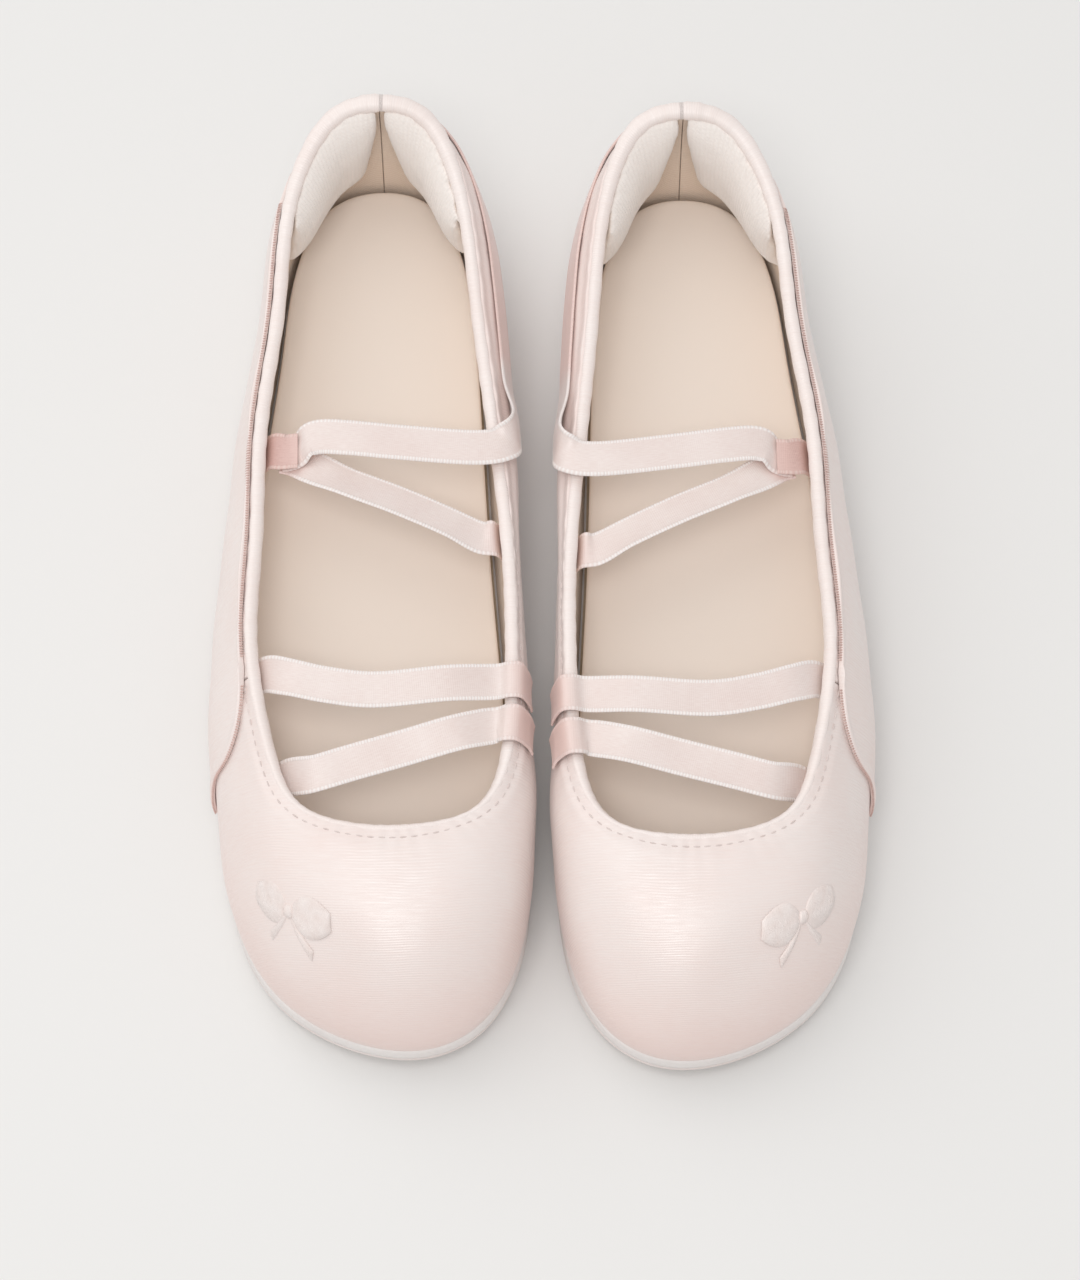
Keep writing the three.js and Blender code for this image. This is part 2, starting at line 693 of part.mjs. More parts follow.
/** The pieces of one slipper: name, body and finish. */
function slipperPieces() {
  const satin = layerOfPanels(0, SATIN_THICKNESS);
  const lining = layerOfPanels(LINING_DEPTH, LINING_THICKNESS);
  const boardInset = INSIDE_DEPTH + GAP;
  const footbedInset = INSIDE_DEPTH + FOOTBED_PLAY;
  return [
    ["outsole", outsole(), "rubber"],
    ["midsole", midsole(), "foam"],
    ["insole_board", insideLayer(boardInset, BOARD_LIFT, BOARD_THICKNESS, 0), "board"],
    ["footbed_foam", insideLayer(footbedInset, FOAM_LIFT, FOAM_THICKNESS, 0), "footbed_foam"],
    ["footbed_cover", insideLayer(footbedInset, COVER_LIFT, COVER_THICKNESS, 0.4), "footbed_textile"],
    ["vamp", satin.toe, "satin"],
    ["quarter_outer", satin.outer, "satin"],
    ["quarter_inner", satin.inner, "satin"],
    ["toe_puff", toePuff(), "stiffener"],
    ["heel_counter", heelCounter(), "stiffener"],
    ["vamp_lining", lining.toe, "lining"],
    ["quarter_lining_outer", lining.outer, "lining"],
    ["quarter_lining_inner", lining.inner, "lining"],
    ["collar_pad_outer", collarPad(-1), "knit"],
    ["collar_pad_inner", collarPad(1), "knit"],
    ["topline_binding", toplineBinding(), "satin"],
    ["side_overlay", lateralOverlay(), "satin"],
    ["heel_seam_tape", heelSeamTape(), "satin"],
    ["band_rear_cross", rearCrossBand(), "elastic"],
    ["band_rear_diagonal", rearDiagonalBand(), "elastic"],
    ["band_anchor_tab", bandAnchorTab(), "elastic"],
    ["band_front_cross", frontCrossBand(), "elastic"],
    ["band_front_diagonal", frontDiagonalBand(), "elastic"],
    ["toe_motif", toeMotif(), "embroidery"],
  ];
}

/** Adds one slipper to the pair, mirrored for the left foot. */
function addSlipper(pair, prefix, mirror) {
  for (const [name, geometry, finish] of slipperPieces()) {
    const mesh = new THREE.Mesh(geometry, new THREE.MeshStandardMaterial(FINISHES[finish]));
    mesh.name = `${prefix}_${name}`;
    mesh.position.x = mirror * (-PAIR_SPACING / 2) * WIDE;
    mesh.position.y = (mirror * PAIR_STAGGER) / 2;
    mesh.scale.x = mirror;
    pair.add(mesh);
  }
}

const pair = new THREE.Group();
pair.name = "ballet_slippers";
addSlipper(pair, "right", 1);
addSlipper(pair, "left", -1);

// The pair is centred over the origin and stands on the ground plane.
pair.updateMatrixWorld(true);
const box = new THREE.Box3().setFromObject(pair);
const middle = box.getCenter(new THREE.Vector3());
pair.position.set(-middle.x, -middle.y, -box.min.z);

export default pair;
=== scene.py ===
"""Looks of a pair of pale satin ballet slippers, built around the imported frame.

Each slipper is described in its own axes, in millimetres: x towards the inner (big-toe) side,
y towards the heel and z up.  The left slipper is the right one mirrored.  The upper is a skin
over ribs that stand round the foot, and each layer is that skin moved along its own normal.
Places on the skin are counted in ribs from the centre back, round the outer side to the toe
(rib 10) and home along the inner side; the climb is 0 at the sole and 1 at the opening.
"""

import logging
import math
import sys
from dataclasses import dataclass, field
from enum import Enum, IntEnum
from typing import Callable
import bpy  # noqa: E402
import numpy as np  # noqa: E402
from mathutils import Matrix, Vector, kdtree  # noqa: E402


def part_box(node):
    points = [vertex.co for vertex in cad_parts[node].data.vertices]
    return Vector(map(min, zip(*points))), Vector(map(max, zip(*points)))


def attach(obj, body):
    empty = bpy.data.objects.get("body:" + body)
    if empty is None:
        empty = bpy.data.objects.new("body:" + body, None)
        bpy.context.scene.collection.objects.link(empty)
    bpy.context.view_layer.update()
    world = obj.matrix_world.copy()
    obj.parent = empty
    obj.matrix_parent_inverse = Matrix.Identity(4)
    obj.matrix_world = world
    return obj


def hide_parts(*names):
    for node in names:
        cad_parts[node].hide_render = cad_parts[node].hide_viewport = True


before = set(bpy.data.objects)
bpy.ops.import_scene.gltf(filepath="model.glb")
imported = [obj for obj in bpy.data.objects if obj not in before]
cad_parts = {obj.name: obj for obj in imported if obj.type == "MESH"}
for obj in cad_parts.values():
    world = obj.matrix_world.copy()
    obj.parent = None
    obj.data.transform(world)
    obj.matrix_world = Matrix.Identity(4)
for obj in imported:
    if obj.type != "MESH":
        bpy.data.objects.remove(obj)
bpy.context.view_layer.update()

Colour = tuple[float, float, float]
Array = np.ndarray
LOG = logging.getLogger("slippers")
MM = 0.001
RIPPLE_WAVES = 8
RIPPLE_HEIGHT = 3.2
MOST_SHARE = 0.45
UP = np.array([0.0, 0.0, 1.0])
ALONG = np.array([0.0, 1.0, 0.0])


class Side(Enum):
    """Which foot a slipper is for; the value mirrors its shape across."""

    RIGHT = 1
    LEFT = -1

    @property
    def prefix(self) -> str:
        """Start of the names of this slipper's pieces."""
        return self.name.lower()

    @property
    def slipper(self) -> str:
        """Body that the sole and the upper ride on."""
        return f"{self.prefix}_slipper"

    @property
    def footbed(self) -> str:
        """Body that the removable footbed rides on."""
        return f"{self.prefix}_footbed"


class Rib(IntEnum):
    """Columns of the table of ribs."""

    FOOT_ACROSS = 0
    FOOT_ALONG = 1
    TOP_ACROSS = 2
    TOP_ALONG = 3
    RISE = 4
    LOW_BULGE = 5
    LOW_CLIMB = 6
    HIGH_BULGE = 7
    HIGH_DROP = 8


RIBS = np.array([
    [1, 136.5, 1, 139.8, 1.0, 3.5, 16, 2, 14],
    [-17, 130, -14.5, 134.2, 0.875, 3.5, 16, 2, 14],
    [-27.3, 109, -25, 112, 0.55, 3, 14, 2.5, 12],
    [-31, 82, -28.2, 84, 0.25, 3.5, 11, 3, 10],
    [-35.2, 52, -32.6, 53, 0.1, 5, 9, 3.5, 9],
    [-39.2, 18, -33.8, 22, 0.02, 6, 9, 4.5, 9],
    [-41.6, -18, -35, -8, 0, 6.5, 9, 5, 8],
    [-41.8, -48, -30.4, -35.5, 0.02, 4.5, 9, 8, 6],
    [-36, -80, -23.2, -52.5, 0.1, 3, 11, 14, 2],
    [-19, -102, -10.5, -59.6, 0.175, 2, 13, 22, -1],
    [6.5, -110.6, 4, -61.4, 0.2, 1.5, 14, 27, -2],
    [26.5, -101, 18.2, -59.2, 0.175, 2, 13, 21, -1],
    [36.2, -77.5, 28.8, -52.2, 0.1, 2.5, 11, 12, 3],
    [37.4, -48, 34.6, -36, 0.02, 3, 10, 6, 7],
    [35.6, -14, 35.8, -9, 0, 3, 9, 3, 9],
    [33.2, 20, 35, 20, 0, 3.4, 9, 2.4, 9],
    [31.6, 54, 31.8, 51, 0.08, 3.6, 9, 2.4, 9],
    [30.2, 84, 28, 84, 0.25, 4, 11, 2.6, 10],
    [27, 110, 24.6, 112, 0.55, 4, 14, 2.6, 12],
    [17.8, 130, 16, 134, 0.875, 3.5, 16, 2, 14],
])
RIB_COUNT = len(RIBS)
OUTER_SEAM = 19 / 3
INNER_SEAM = 41 / 3


@dataclass(frozen=True)
class Layers:
    """Thicknesses of the upper and heights of the sole, in mm."""

    gap: float = 0.3
    satin: float = 1.2
    stiffener: float = 0.8
    lining: float = 0.8
    overlay: float = 1.1
    side_height: float = 41.0
    collar_height: float = 61.0
    forefoot_wall: float = 10.5
    heel_wall: float = 16.0
    toe_spring: float = 6.0
    ball_start: float = 65.0
    ball_run: float = 45.0
    heel_start: float = 116.0
    heel_run: float = 24.0
    heel_bevel: float = 4.0
    outsole: float = 3.6
    rim: float = 1.6
    board: float = 1.2
    foam: float = 3.6
    cover: float = 0.9
    play: float = 0.9
    binding_width: float = 3.8
    binding_height: float = 2.2
    band_rest: float = 0.45
    band_width: float = 10.0
    band_thickness: float = 0.9

    @property
    def lining_depth(self) -> float:
        """How deep the lining's outer face lies under the skin."""
        return self.satin + self.stiffener + 2 * self.gap

    @property
    def inside_depth(self) -> float:
        """How deep the inner face of the upper lies under the skin."""
        return self.lining_depth + self.lining

    @property
    def band_clear(self) -> float:
        """Distance from a surface to the middle of a band lying on it."""
        return self.band_rest + self.band_thickness / 2

    @property
    def binding_reach(self) -> float:
        """Half the width of the binding."""
        return self.binding_width / 2 / math.cos(math.pi / 6)


LAYERS = Layers()


# ---- Number tools --------------------------------------------------------------------------


def ease(value: Array | float, low: float, high: float) -> Array:
    """Smooth step: 0 below `low`, 1 above `high`, 3t^2 - 2t^3 between them."""
    t = np.clip((value - low) / (high - low), 0.0, 1.0)
    return t * t * (3 - 2 * t)


def hill(value: Array, middle: float, spread: float) -> Array:
    """Rounded hill, 1 at its middle: exp(-((value - middle) / spread)^2)."""
    return np.exp(-(((value - middle) / spread) ** 2))


def unit(vectors: Array) -> Array:
    """Vectors divided by their own lengths."""
    return vectors / np.linalg.norm(vectors, axis=-1, keepdims=True)


def closed_weights(values: Array) -> Array:
    """Weights of closed uniform cubic B-splines through given values.

    Each value is (weight before + 4 * weight + weight after) / 6, solved for all at once.

    Args:
        values: one row for each control value.

    Returns:
        Array of the same shape.
    """
    count = len(values)
    matrix = (4 * np.eye(count) + np.roll(np.eye(count), 1, 0) + np.roll(np.eye(count), -1, 0)) / 6
    return np.linalg.solve(matrix, values)


WEIGHTS = closed_weights(RIBS)


def rounded_steps(length: float, edge: float, step: float) -> Array:
    """Positions from 0 to 1 over `length` mm, closer together over the `edge` mm at both ends.

    Args:
        length: length covered, mm.
        edge: length of each rounded end, mm.
        step: spacing between the ends, mm.

    Returns:
        Increasing positions; the ends follow edge * (1 - cos angle).
    """
    share = min(edge / length, MOST_SHARE)
    ends = share * (1 - np.cos(np.linspace(0, math.pi / 2, 5)))
    count = max(3, int(round((length - 2 * edge) / step)) + 1)
    middle = np.linspace(share, 1 - share, count)
    return np.concatenate([ends[:-1], middle, 1 - ends[-2::-1]])


def fullness(positions: Array, length: float, edge: float) -> Array:
    """Quarter circles at both ends: sqrt(1 - (1 - d)^2), d being the depth in from an end.

    Args:
        positions: positions from 0 to 1.
        length: length covered, mm.
        edge: length of each rounded end, mm.

    Returns:
        Values from 0 at the ends to 1.
    """
    share = min(edge / length, MOST_SHARE)
    depth = np.clip(np.minimum(positions, 1 - positions) / share, 0, 1)
    return np.sqrt(1 - (1 - depth) ** 2)


def run_along(points: Array) -> Array:
    """Length run along a path at each of its points: the sum of the chords before it."""
    return np.concatenate([[0], np.cumsum(np.linalg.norm(np.diff(points, axis=0), axis=1))])


def ripple(u: Array, v: Array, length: float, seed: int) -> Array:
    """Soft uneven ripple: a sum of eight plane waves of about one length in seeded directions.

    Args:
        u: first coordinate, mm.
        v: second coordinate, mm.
        length: mean wave length, mm.
        seed: choice of the directions and phases.

    Returns:
        Heights of about -1 to 1.
    """
    rng = np.random.default_rng(seed)
    total = np.zeros(np.broadcast(u, v).shape)
    for _ in range(RIPPLE_WAVES):
        angle = rng.uniform(0, math.pi)
        phase = rng.uniform(0, 2 * math.pi)
        scale = rng.uniform(0.7, 1.5)
        turn = 2 * math.pi / (length * scale)
        total += np.sin((u * math.cos(angle) + v * math.sin(angle)) * turn + phase)
    return total / RIPPLE_HEIGHT


# ---- The form of one slipper ---------------------------------------------------------------


@dataclass(frozen=True)
class Form:
    """The skin of one slipper, and where that slipper stands in the frame."""

    side: Side
    across: float = 0.0
    along: float = 0.0

    @classmethod
    def placed(cls, side: Side) -> "Form":
        """Form whose sole is centred where the frame has that slipper's outsole.

        Args:
            side: which foot.

        Returns:
            The form in its place.
        """
        low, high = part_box(f"{side.prefix}_outsole")
        ring = cls(side).sole_edge(np.linspace(0, RIB_COUNT, 800), LAYERS.rim)
        middle = (ring.min(0) + ring.max(0)) / 2
        centre = (np.array(low) + np.array(high)) / 2 / MM
        return cls(side, centre[0] - side.value * middle[0], centre[1] - middle[1])

    def world(self, points: Array) -> Array:
        """Points of the slipper's own axes (mm) in the frame (metres)."""
        return (points * [self.side.value, 1, 1] + [self.across, self.along, 0]) * MM

    @staticmethod
    def value(column: Rib, place: Array) -> Array:
        """A column of the ribs between the ribs: the four nearest weights, B-spline blended.

        Args:
            column: column of the table of ribs.
            place: places round the slipper, counted in ribs.

        Returns:
            Value of the column at each place.
        """
        whole = np.floor(place).astype(int)
        f = place - whole
        near = [WEIGHTS[(whole + k) % RIB_COUNT, column] for k in (-1, 0, 1, 2)]
        blend = [
            (1 - f) ** 3,
            3 * f**3 - 6 * f**2 + 4,
            -3 * f**3 + 3 * f**2 + 3 * f + 1,
            f**3,
        ]
        return sum(n * b for n, b in zip(near, blend)) / 6

    @staticmethod
    def sole_bottom(along: Array) -> Array:
        """Lift of the tread: squares of the distance past the ball and past the heel.

        Args:
            along: distances towards the heel, mm.

        Returns:
            Heights in mm.
        """
        toe = Form.past_ball(along)
        heel = np.maximum(0, along - LAYERS.heel_start) / LAYERS.heel_run
        return LAYERS.toe_spring * toe**2 + LAYERS.heel_bevel * heel**2

    @staticmethod
    def past_ball(along: Array) -> Array:
        """How far past the ball a place is: 0 behind it, 1 near the tip of the toe."""
        return np.maximum(0, -LAYERS.ball_start - along) / LAYERS.ball_run

    @staticmethod
    def sole_top(along: Array) -> Array:
        """Height of the sole's top: forefoot wall, easing into the heel wall, lifted at the toe.

        Args:
            along: distances towards the heel, mm.

        Returns:
            Heights in mm.
        """
        toe = Form.past_ball(along)
        wedge = (LAYERS.heel_wall - LAYERS.forefoot_wall) * ease(along, -40, 75)
        return LAYERS.forefoot_wall + wedge + 0.8 * LAYERS.toe_spring * toe**2

    def foot(self, place: Array) -> Array:
        """Foot of the rib, on the edge of the sole."""
        along = self.value(Rib.FOOT_ALONG, place)
        return np.stack([self.value(Rib.FOOT_ACROSS, place), along, self.sole_top(along)], -1)

    def top(self, place: Array) -> Array:
        """Top of the rib, on the edge of the opening.

        Args:
            place: places round the slipper, counted in ribs.

        Returns:
            Points in the slipper's own axes, mm.
        """
        rise = LAYERS.collar_height - LAYERS.side_height
        height = LAYERS.side_height + self.value(Rib.RISE, place) * rise
        across, along = self.value(Rib.TOP_ACROSS, place), self.value(Rib.TOP_ALONG, place)
        return np.stack([across, along, height], -1)

    def outward(self, place: Array) -> Array:
        """Level direction away from the foot, square to the edge of the sole."""
        edge = self.foot(place + 0.02) - self.foot(place - 0.02)
        return unit(np.stack([edge[..., 1], -edge[..., 0], 0 * edge[..., 0]], -1))

    def skin(self, place: Array | float, climb: Array | float) -> Array:
        """Cubic Bezier up each rib: out and up from the sole, and down and out from the top.

        Args:
            place: places round the slipper, counted in ribs.
            climb: climbs, 0 at the sole and 1 at the opening.

        Returns:
            Points in the slipper's own axes, mm.
        """
        place, climb = np.broadcast_arrays(np.asarray(place, float), np.asarray(climb, float))
        away, foot, top = self.outward(place), self.foot(place), self.top(place)
        low = foot + away * self.value(Rib.LOW_BULGE, place)[..., None]
        low = low + UP * self.value(Rib.LOW_CLIMB, place)[..., None]
        high = top + away * self.value(Rib.HIGH_BULGE, place)[..., None]
        high = high - UP * self.value(Rib.HIGH_DROP, place)[..., None]
        c = climb[..., None]
        d = 1 - c
        return foot * d**3 + low * 3 * d * d * c + high * 3 * d * c * c + top * c**3

    def frame(self, place: Array | float, climb: Array | float) -> tuple[Array, Array, Array]:
        """Directions of the skin: round the slipper, up the rib, and out of the skin.

        Args:
            place: places round the slipper, counted in ribs.
            climb: climbs, 0 at the sole and 1 at the opening.

        Returns:
            Three arrays of unit directions.
        """
        place, climb = np.broadcast_arrays(np.asarray(place, float), np.asarray(climb, float))
        step = 0.01
        around = unit(self.skin(place + step, climb) - self.skin(place - step, climb))
        rise = unit(self.skin(place, climb + step) - self.skin(place, climb - step))
        return around, rise, unit(np.cross(around, rise))

    def layer(self, place: Array | float, climb: Array | float, distance: Array | float) -> Array:
        """Points at a distance outside (+) or inside (-) the skin."""
        out = self.frame(place, climb)[2]
        return self.skin(place, climb) + out * np.asarray(distance, float)[..., None]

    def ribs_for(self, length: float, place: float, climb: float) -> float:
        """Part of a rib spacing that covers `length` mm round the slipper."""
        span = self.skin(place + 0.01, climb) - self.skin(place - 0.01, climb)
        return length * 0.02 / float(np.linalg.norm(span))

    def edge_slope(self, place: Array) -> Array:
        """Length in mm of a whole climb, judged from the last 0.03 of it below the opening."""
        return np.linalg.norm(self.skin(place, 1.0) - self.skin(place, 0.97), axis=-1) / 0.03

    def climb_below(self, place: Array, distance: Array | float) -> Array:
        """Climb of the points `distance` mm below the edge of the opening."""
        return 1 - distance / self.edge_slope(place)

    def below_edge(self, place: Array, climb: Array) -> Array:
        """Distance in mm of points of the skin below the edge of the opening."""
        return (1 - climb) * self.edge_slope(place)

    def even_places(self, start: float, end: float, climb: float, pitch: float) -> Array:
        """Places from `start` to `end` spaced about `pitch` mm apart along one climb.

        Args:
            start: first place.
            end: last place.
            climb: climb along which they are measured.
            pitch: spacing, mm.

        Returns:
            Increasing places.
        """
        fine = np.linspace(start, end, 1200)
        run = run_along(self.skin(fine, climb))
        return np.interp(np.linspace(0, run[-1], int(run[-1] / pitch) + 1), run, fine)

    def sole_edge(self, place: Array, distance: float) -> Array:
        """Edge of the sole moved out level by `distance` mm."""
        return self.foot(place) + self.outward(place) * distance

    def above(self, across: float, along: float, height: float) -> Array:
        """A place in the open above the foot, its height counted from the side height."""
        return np.array([across, along, LAYERS.side_height + height])


# ---- Closed solids -------------------------------------------------------------------------


@dataclass
class Solid:
    """Points (mm), faces, and a weave coordinate for each point.

    A face has four corners; a triangle repeats its last one.  The weave coordinate is (along
    the threads, across the threads, a free value from 0 to 1), in mm.
    """

    points: Array
    faces: Array
    weave: Array

    def __add__(self, other: "Solid") -> "Solid":
        """Both solids as one, still two separate shells."""
        return Solid(
            np.concatenate([self.points, other.points]),
            np.concatenate([self.faces, other.faces + len(self.points)]),
            np.concatenate([self.weave, other.weave]),
        )

    def welded(self) -> "Solid":
        """The solid with points closer than 0.001 mm made one and collapsed faces dropped.

        Returns:
            The welded solid.
        """
        rounded = np.round(self.points, 3)
        _, first, index = np.unique(rounded, axis=0, return_index=True, return_inverse=True)
        faces = index.reshape(-1)[self.faces]
        corners = [len(set(face)) for face in faces.tolist()]
        return Solid(self.points[first], faces[np.array(corners) > 2], self.weave[first])

    def volume(self) -> float:
        """Signed volume: a sixth of the triple products of all triangles."""
        a, b, c, d = (self.points[self.faces[:, k]] for k in range(4))
        return float((a * (np.cross(b, c) + np.cross(c, d))).sum() / 6)


def quads(index: Array) -> Array:
    """Four-cornered faces of a grid of point numbers."""
    corners = [index[:-1, :-1], index[1:, :-1], index[1:, 1:], index[:-1, 1:]]
    return np.stack([c.reshape(-1) for c in corners], -1)


def shell(front: Array, back: Array, weave: Array) -> Solid:
    """Closed solid between two grids that meet along their border.

    Args:
        front: grid of points (rows, columns, 3).
        back: matching grid; its border is taken from the front.
        weave: grid of weave coordinates (rows, columns, 3).

    Returns:
        The solid, its border shared by both faces.
    """
    rows, columns = front.shape[:2]
    face = np.arange(rows * columns).reshape(rows, columns)
    rear = face.copy()
    rear[1:-1, 1:-1] = rows * columns + np.arange((rows - 2) * (columns - 2)).reshape(rows - 2, -1)
    return Solid(
        np.concatenate([front.reshape(-1, 3), back[1:-1, 1:-1].reshape(-1, 3)]),
        np.concatenate([quads(face), quads(rear)[:, ::-1]]),
        np.concatenate([weave.reshape(-1, 3), weave[1:-1, 1:-1].reshape(-1, 3)]),
    )


def tube(sections: Array, weave: Array, closed: bool) -> Solid:
    """Solid swept through closed sections of equal size.

    Args:
        sections: grid of points (sections, points round, 3).
        weave: matching grid of weave coordinates.
        closed: True if the last section joins the first.

    Returns:
        The solid; open ends are closed by a fan from the middle of the end section.
    """
    count, around = sections.shape[:2]
    index = np.arange(count * around).reshape(count, around)
    index = np.concatenate([index, index[:, :1]], 1)
    if closed:
        round_again = np.concatenate([index, index[:1]])
        return Solid(sections.reshape(-1, 3), quads(round_again), weave.reshape(-1, 3))
    faces = [quads(index)]
    points, marks = [sections.reshape(-1, 3)], [weave.reshape(-1, 3)]
    for number, end in ((count * around, 0), (count * around + 1, count - 1)):
        ring, hub = index[end], np.full(around, number)
        fan = np.stack([ring[:-1], ring[1:], hub, hub], -1)
        faces.append(fan[:, [1, 0, 2, 2]] if end == 0 else fan)
        points.append(sections[end].mean(0, keepdims=True))
        marks.append(weave[end].mean(0, keepdims=True))
    return Solid(np.concatenate(points), np.concatenate(faces), np.concatenate(marks))


def stitches(centres: Array, along: Array, normals: Array, length: float, radius: float) -> Solid:
    """Short rounded threads, one for each centre, all of 36 triangles.

    Each is a six-sided spindle: its radius is 0, 0.8, 1, 0.8 and 0 times the full one at -1,
    -0.75, 0, 0.75 and 1 times the half length, and its ends dip towards the cloth.

    Args:
        centres: middles of the threads (n, 3).
        along: directions of the threads (n, 3).
        normals: directions out of the cloth (n, 3).
        length: length of a thread, mm.
        radius: radius of a thread, mm.

    Returns:
        All threads as one solid of separate shells.
    """
    along = unit(along)
    across = unit(np.cross(along, normals))
    out = np.cross(across, along)
    turns = np.arange(6) * math.pi / 3
    rings, dips = np.array([-0.75, 0.0, 0.75]), np.array([-0.35, 0.25, -0.35])
    round_ = np.stack([np.cos(turns), np.sin(turns)])
    spin = across[:, None, :] * round_[0][:, None] + out[:, None, :] * round_[1][:, None]
    shape = np.array([0.8, 1.0, 0.8])
    axis = centres[:, None] + along[:, None] * (rings * length / 2)[:, None]
    axis = axis + out[:, None] * (dips * radius)[:, None]
    body = axis[:, :, None] + spin[:, None] * (shape * radius)[:, None, None]
    tips = [centres + along * s * length / 2 - out * 1.1 * radius for s in (-1, 1)]
    points = np.concatenate([body.reshape(len(centres), 18, 3), np.stack(tips, 1)], 1)
    ring = np.concatenate([np.arange(18).reshape(3, 6), np.arange(18).reshape(3, 6)[:, :1]], 1)
    side = quads(ring)
    low = np.stack([ring[0, 1:], ring[0, :-1], np.full(6, 18), np.full(6, 18)], -1)
    high = np.stack([ring[2, :-1], ring[2, 1:], np.full(6, 19), np.full(6, 19)], -1)
    one = np.concatenate([side, low, high])
    faces = (one[None] + 20 * np.arange(len(centres))[:, None, None]).reshape(-1, 4)
    weave = np.zeros((len(centres) * 20, 3))
    weave[:, 0] = np.repeat(np.arange(len(centres)) * 3.7, 20)
    return Solid(points.reshape(-1, 3), faces, weave)


# ---- Finishes ------------------------------------------------------------------------------


class Recipe:
    """Lays out the nodes of one material."""

    def __init__(self, name: str) -> None:
        """Starts a material with a Principled shader.

        Args:
            name: name of the material.
        """
        self.material = bpy.data.materials.new(name)
        self.material.use_nodes = True
        self.tree = self.material.node_tree
        self.shader = self.tree.nodes["Principled BSDF"]

    def node(self, kind: str, **settings: object) -> bpy.types.Node:
        """A new node with the given properties.

        Args:
            kind: the node's type, without its ShaderNode.
            settings: properties to set on it.

        Returns:
            The node.
        """
        node = self.tree.nodes.new(f"ShaderNode{kind}")
        for key, value in settings.items():
            setattr(node, key, value)
        return node

    def feed(self, socket: bpy.types.NodeSocket, value: object) -> None:
        """Links a socket to an output, or sets a plain value on it.

        Args:
            socket: input to feed.
            value: output of another node, or a plain value.
        """
        if isinstance(value, bpy.types.NodeSocket):
            self.tree.links.new(value, socket)
        else:
            socket.default_value = value

    def set(self, **values: float) -> None:
        """Sets sockets of the shader; an underscore stands for a space in a socket's name."""
        for key, value in values.items():
            self.feed(self.shader.inputs[key.replace("_", " ")], value)

    def weave(self) -> tuple[bpy.types.NodeSocket, bpy.types.NodeSocket, bpy.types.NodeSocket]:
        """The three parts of the piece's weave coordinate.

        Returns:
            Along the threads, across the threads, and the free value.
        """
        attribute = self.node("Attribute", attribute_name="weave")
        parts = self.node("SeparateXYZ")
        self.feed(parts.inputs[0], attribute.outputs["Vector"])
        return parts.outputs[0], parts.outputs[1], parts.outputs[2]

    def place(self) -> bpy.types.NodeSocket:
        """Object coordinates, in metres."""
        return self.node("TexCoord").outputs["Object"]

    def math(self, operation: str, a: object, b: object = 0.0, c: object = 0.0) -> bpy.types.NodeSocket:
        """Result of a Math node.

        Args:
            operation: the node's operation.
            a: first input.
            b: second input.
            c: third input.

        Returns:
            The result.
        """
        node = self.node("Math", operation=operation)
        for socket, value in zip(node.inputs, (a, b, c)):
            self.feed(socket, value)
        return node.outputs[0]

    def vector(self, x: object, y: object, z: object = 0.0) -> bpy.types.NodeSocket:
        """Three values as one vector.

        Args:
            x: first value.
            y: second value.
            z: third value.

        Returns:
            The vector.
        """
        node = self.node("CombineXYZ")
        for socket, value in zip(node.inputs, (x, y, z)):
            self.feed(socket, value)
        return node.outputs[0]

    def noise(
        self, vector: object, scale: float, detail: float = 2.0, rough: float = 0.5
    ) -> bpy.types.NodeSocket:
        """Cloudy noise from about 0.3 to 0.7.

        Args:
            vector: where it is read.
            scale: how many clouds to a unit of length.
            detail: octaves.
            rough: strength of the finer octaves.

        Returns:
            The noise.
        """
        node = self.node("TexNoise")
        self.feed(node.inputs["Vector"], vector)
        node.inputs["Scale"].default_value = scale
        node.inputs["Detail"].default_value = detail
        node.inputs["Roughness"].default_value = rough
        return node.outputs["Fac"]

    def waves(self, value: object, pitch: float) -> bpy.types.NodeSocket:
        """Even waves from 0 to 1, `pitch` apart: (1 + sin(2 pi value / pitch)) / 2."""
        angle = self.math("MULTIPLY", value, 2 * math.pi / pitch)
        return self.math("MULTIPLY_ADD", self.math("SINE", angle), 0.5, 0.5)

    def span(
        self, value: object, low: float, high: float, to_low: float, to_high: float
    ) -> bpy.types.NodeSocket:
        """The value carried from one range to another, held at its ends.

        Args:
            value: value to carry over.
            low: start of its range.
            high: end of its range.
            to_low: start of the new range.
            to_high: end of the new range.

        Returns:
            The value in the new range.
        """
        node = self.node("MapRange")
        for socket, number in zip(node.inputs, (value, low, high, to_low, to_high)):
            self.feed(socket, number)
        return node.outputs[0]

    def spread(self, noise: object, to_low: float, to_high: float) -> bpy.types.NodeSocket:
        """The middle of a noise, from 0.3 to 0.7, carried to another range."""
        return self.span(noise, 0.3, 0.7, to_low, to_high)

    def stretched(self, u: object, v: object, along: float, across: float) -> bpy.types.NodeSocket:
        """Weave coordinates scaled by one number along the threads and another across them."""
        return self.vector(self.math("MULTIPLY", u, along), self.math("MULTIPLY", v, across))

    def mix(self, share: object, a: object, b: object) -> bpy.types.NodeSocket:
        """Colour between two colours.

        Args:
            share: 0 for the first colour and 1 for the second.
            a: first colour.
            b: second colour.

        Returns:
            The mixed colour.
        """
        node = self.node("Mix", data_type="RGBA")
        self.feed(node.inputs[0], share)
        for socket, value in ((node.inputs[6], a), (node.inputs[7], b)):
            self.feed(socket, (*value, 1.0) if isinstance(value, tuple) else value)
        return node.outputs[2]

    def bump(self, height: object, depth: float, under: object = None) -> bpy.types.NodeSocket:
        """Normal of a relief `depth` mm deep, over another normal if one is given.

        Args:
            height: height from 0 to 1.
            depth: depth of the relief, mm.
            under: normal to start from, or None.

        Returns:
            The normal.
        """
        node = self.node("Bump")
        self.feed(node.inputs["Height"], height)
        node.inputs["Distance"].default_value = depth * MM
        if under is not None:
            self.feed(node.inputs["Normal"], under)
        return node.outputs[0]


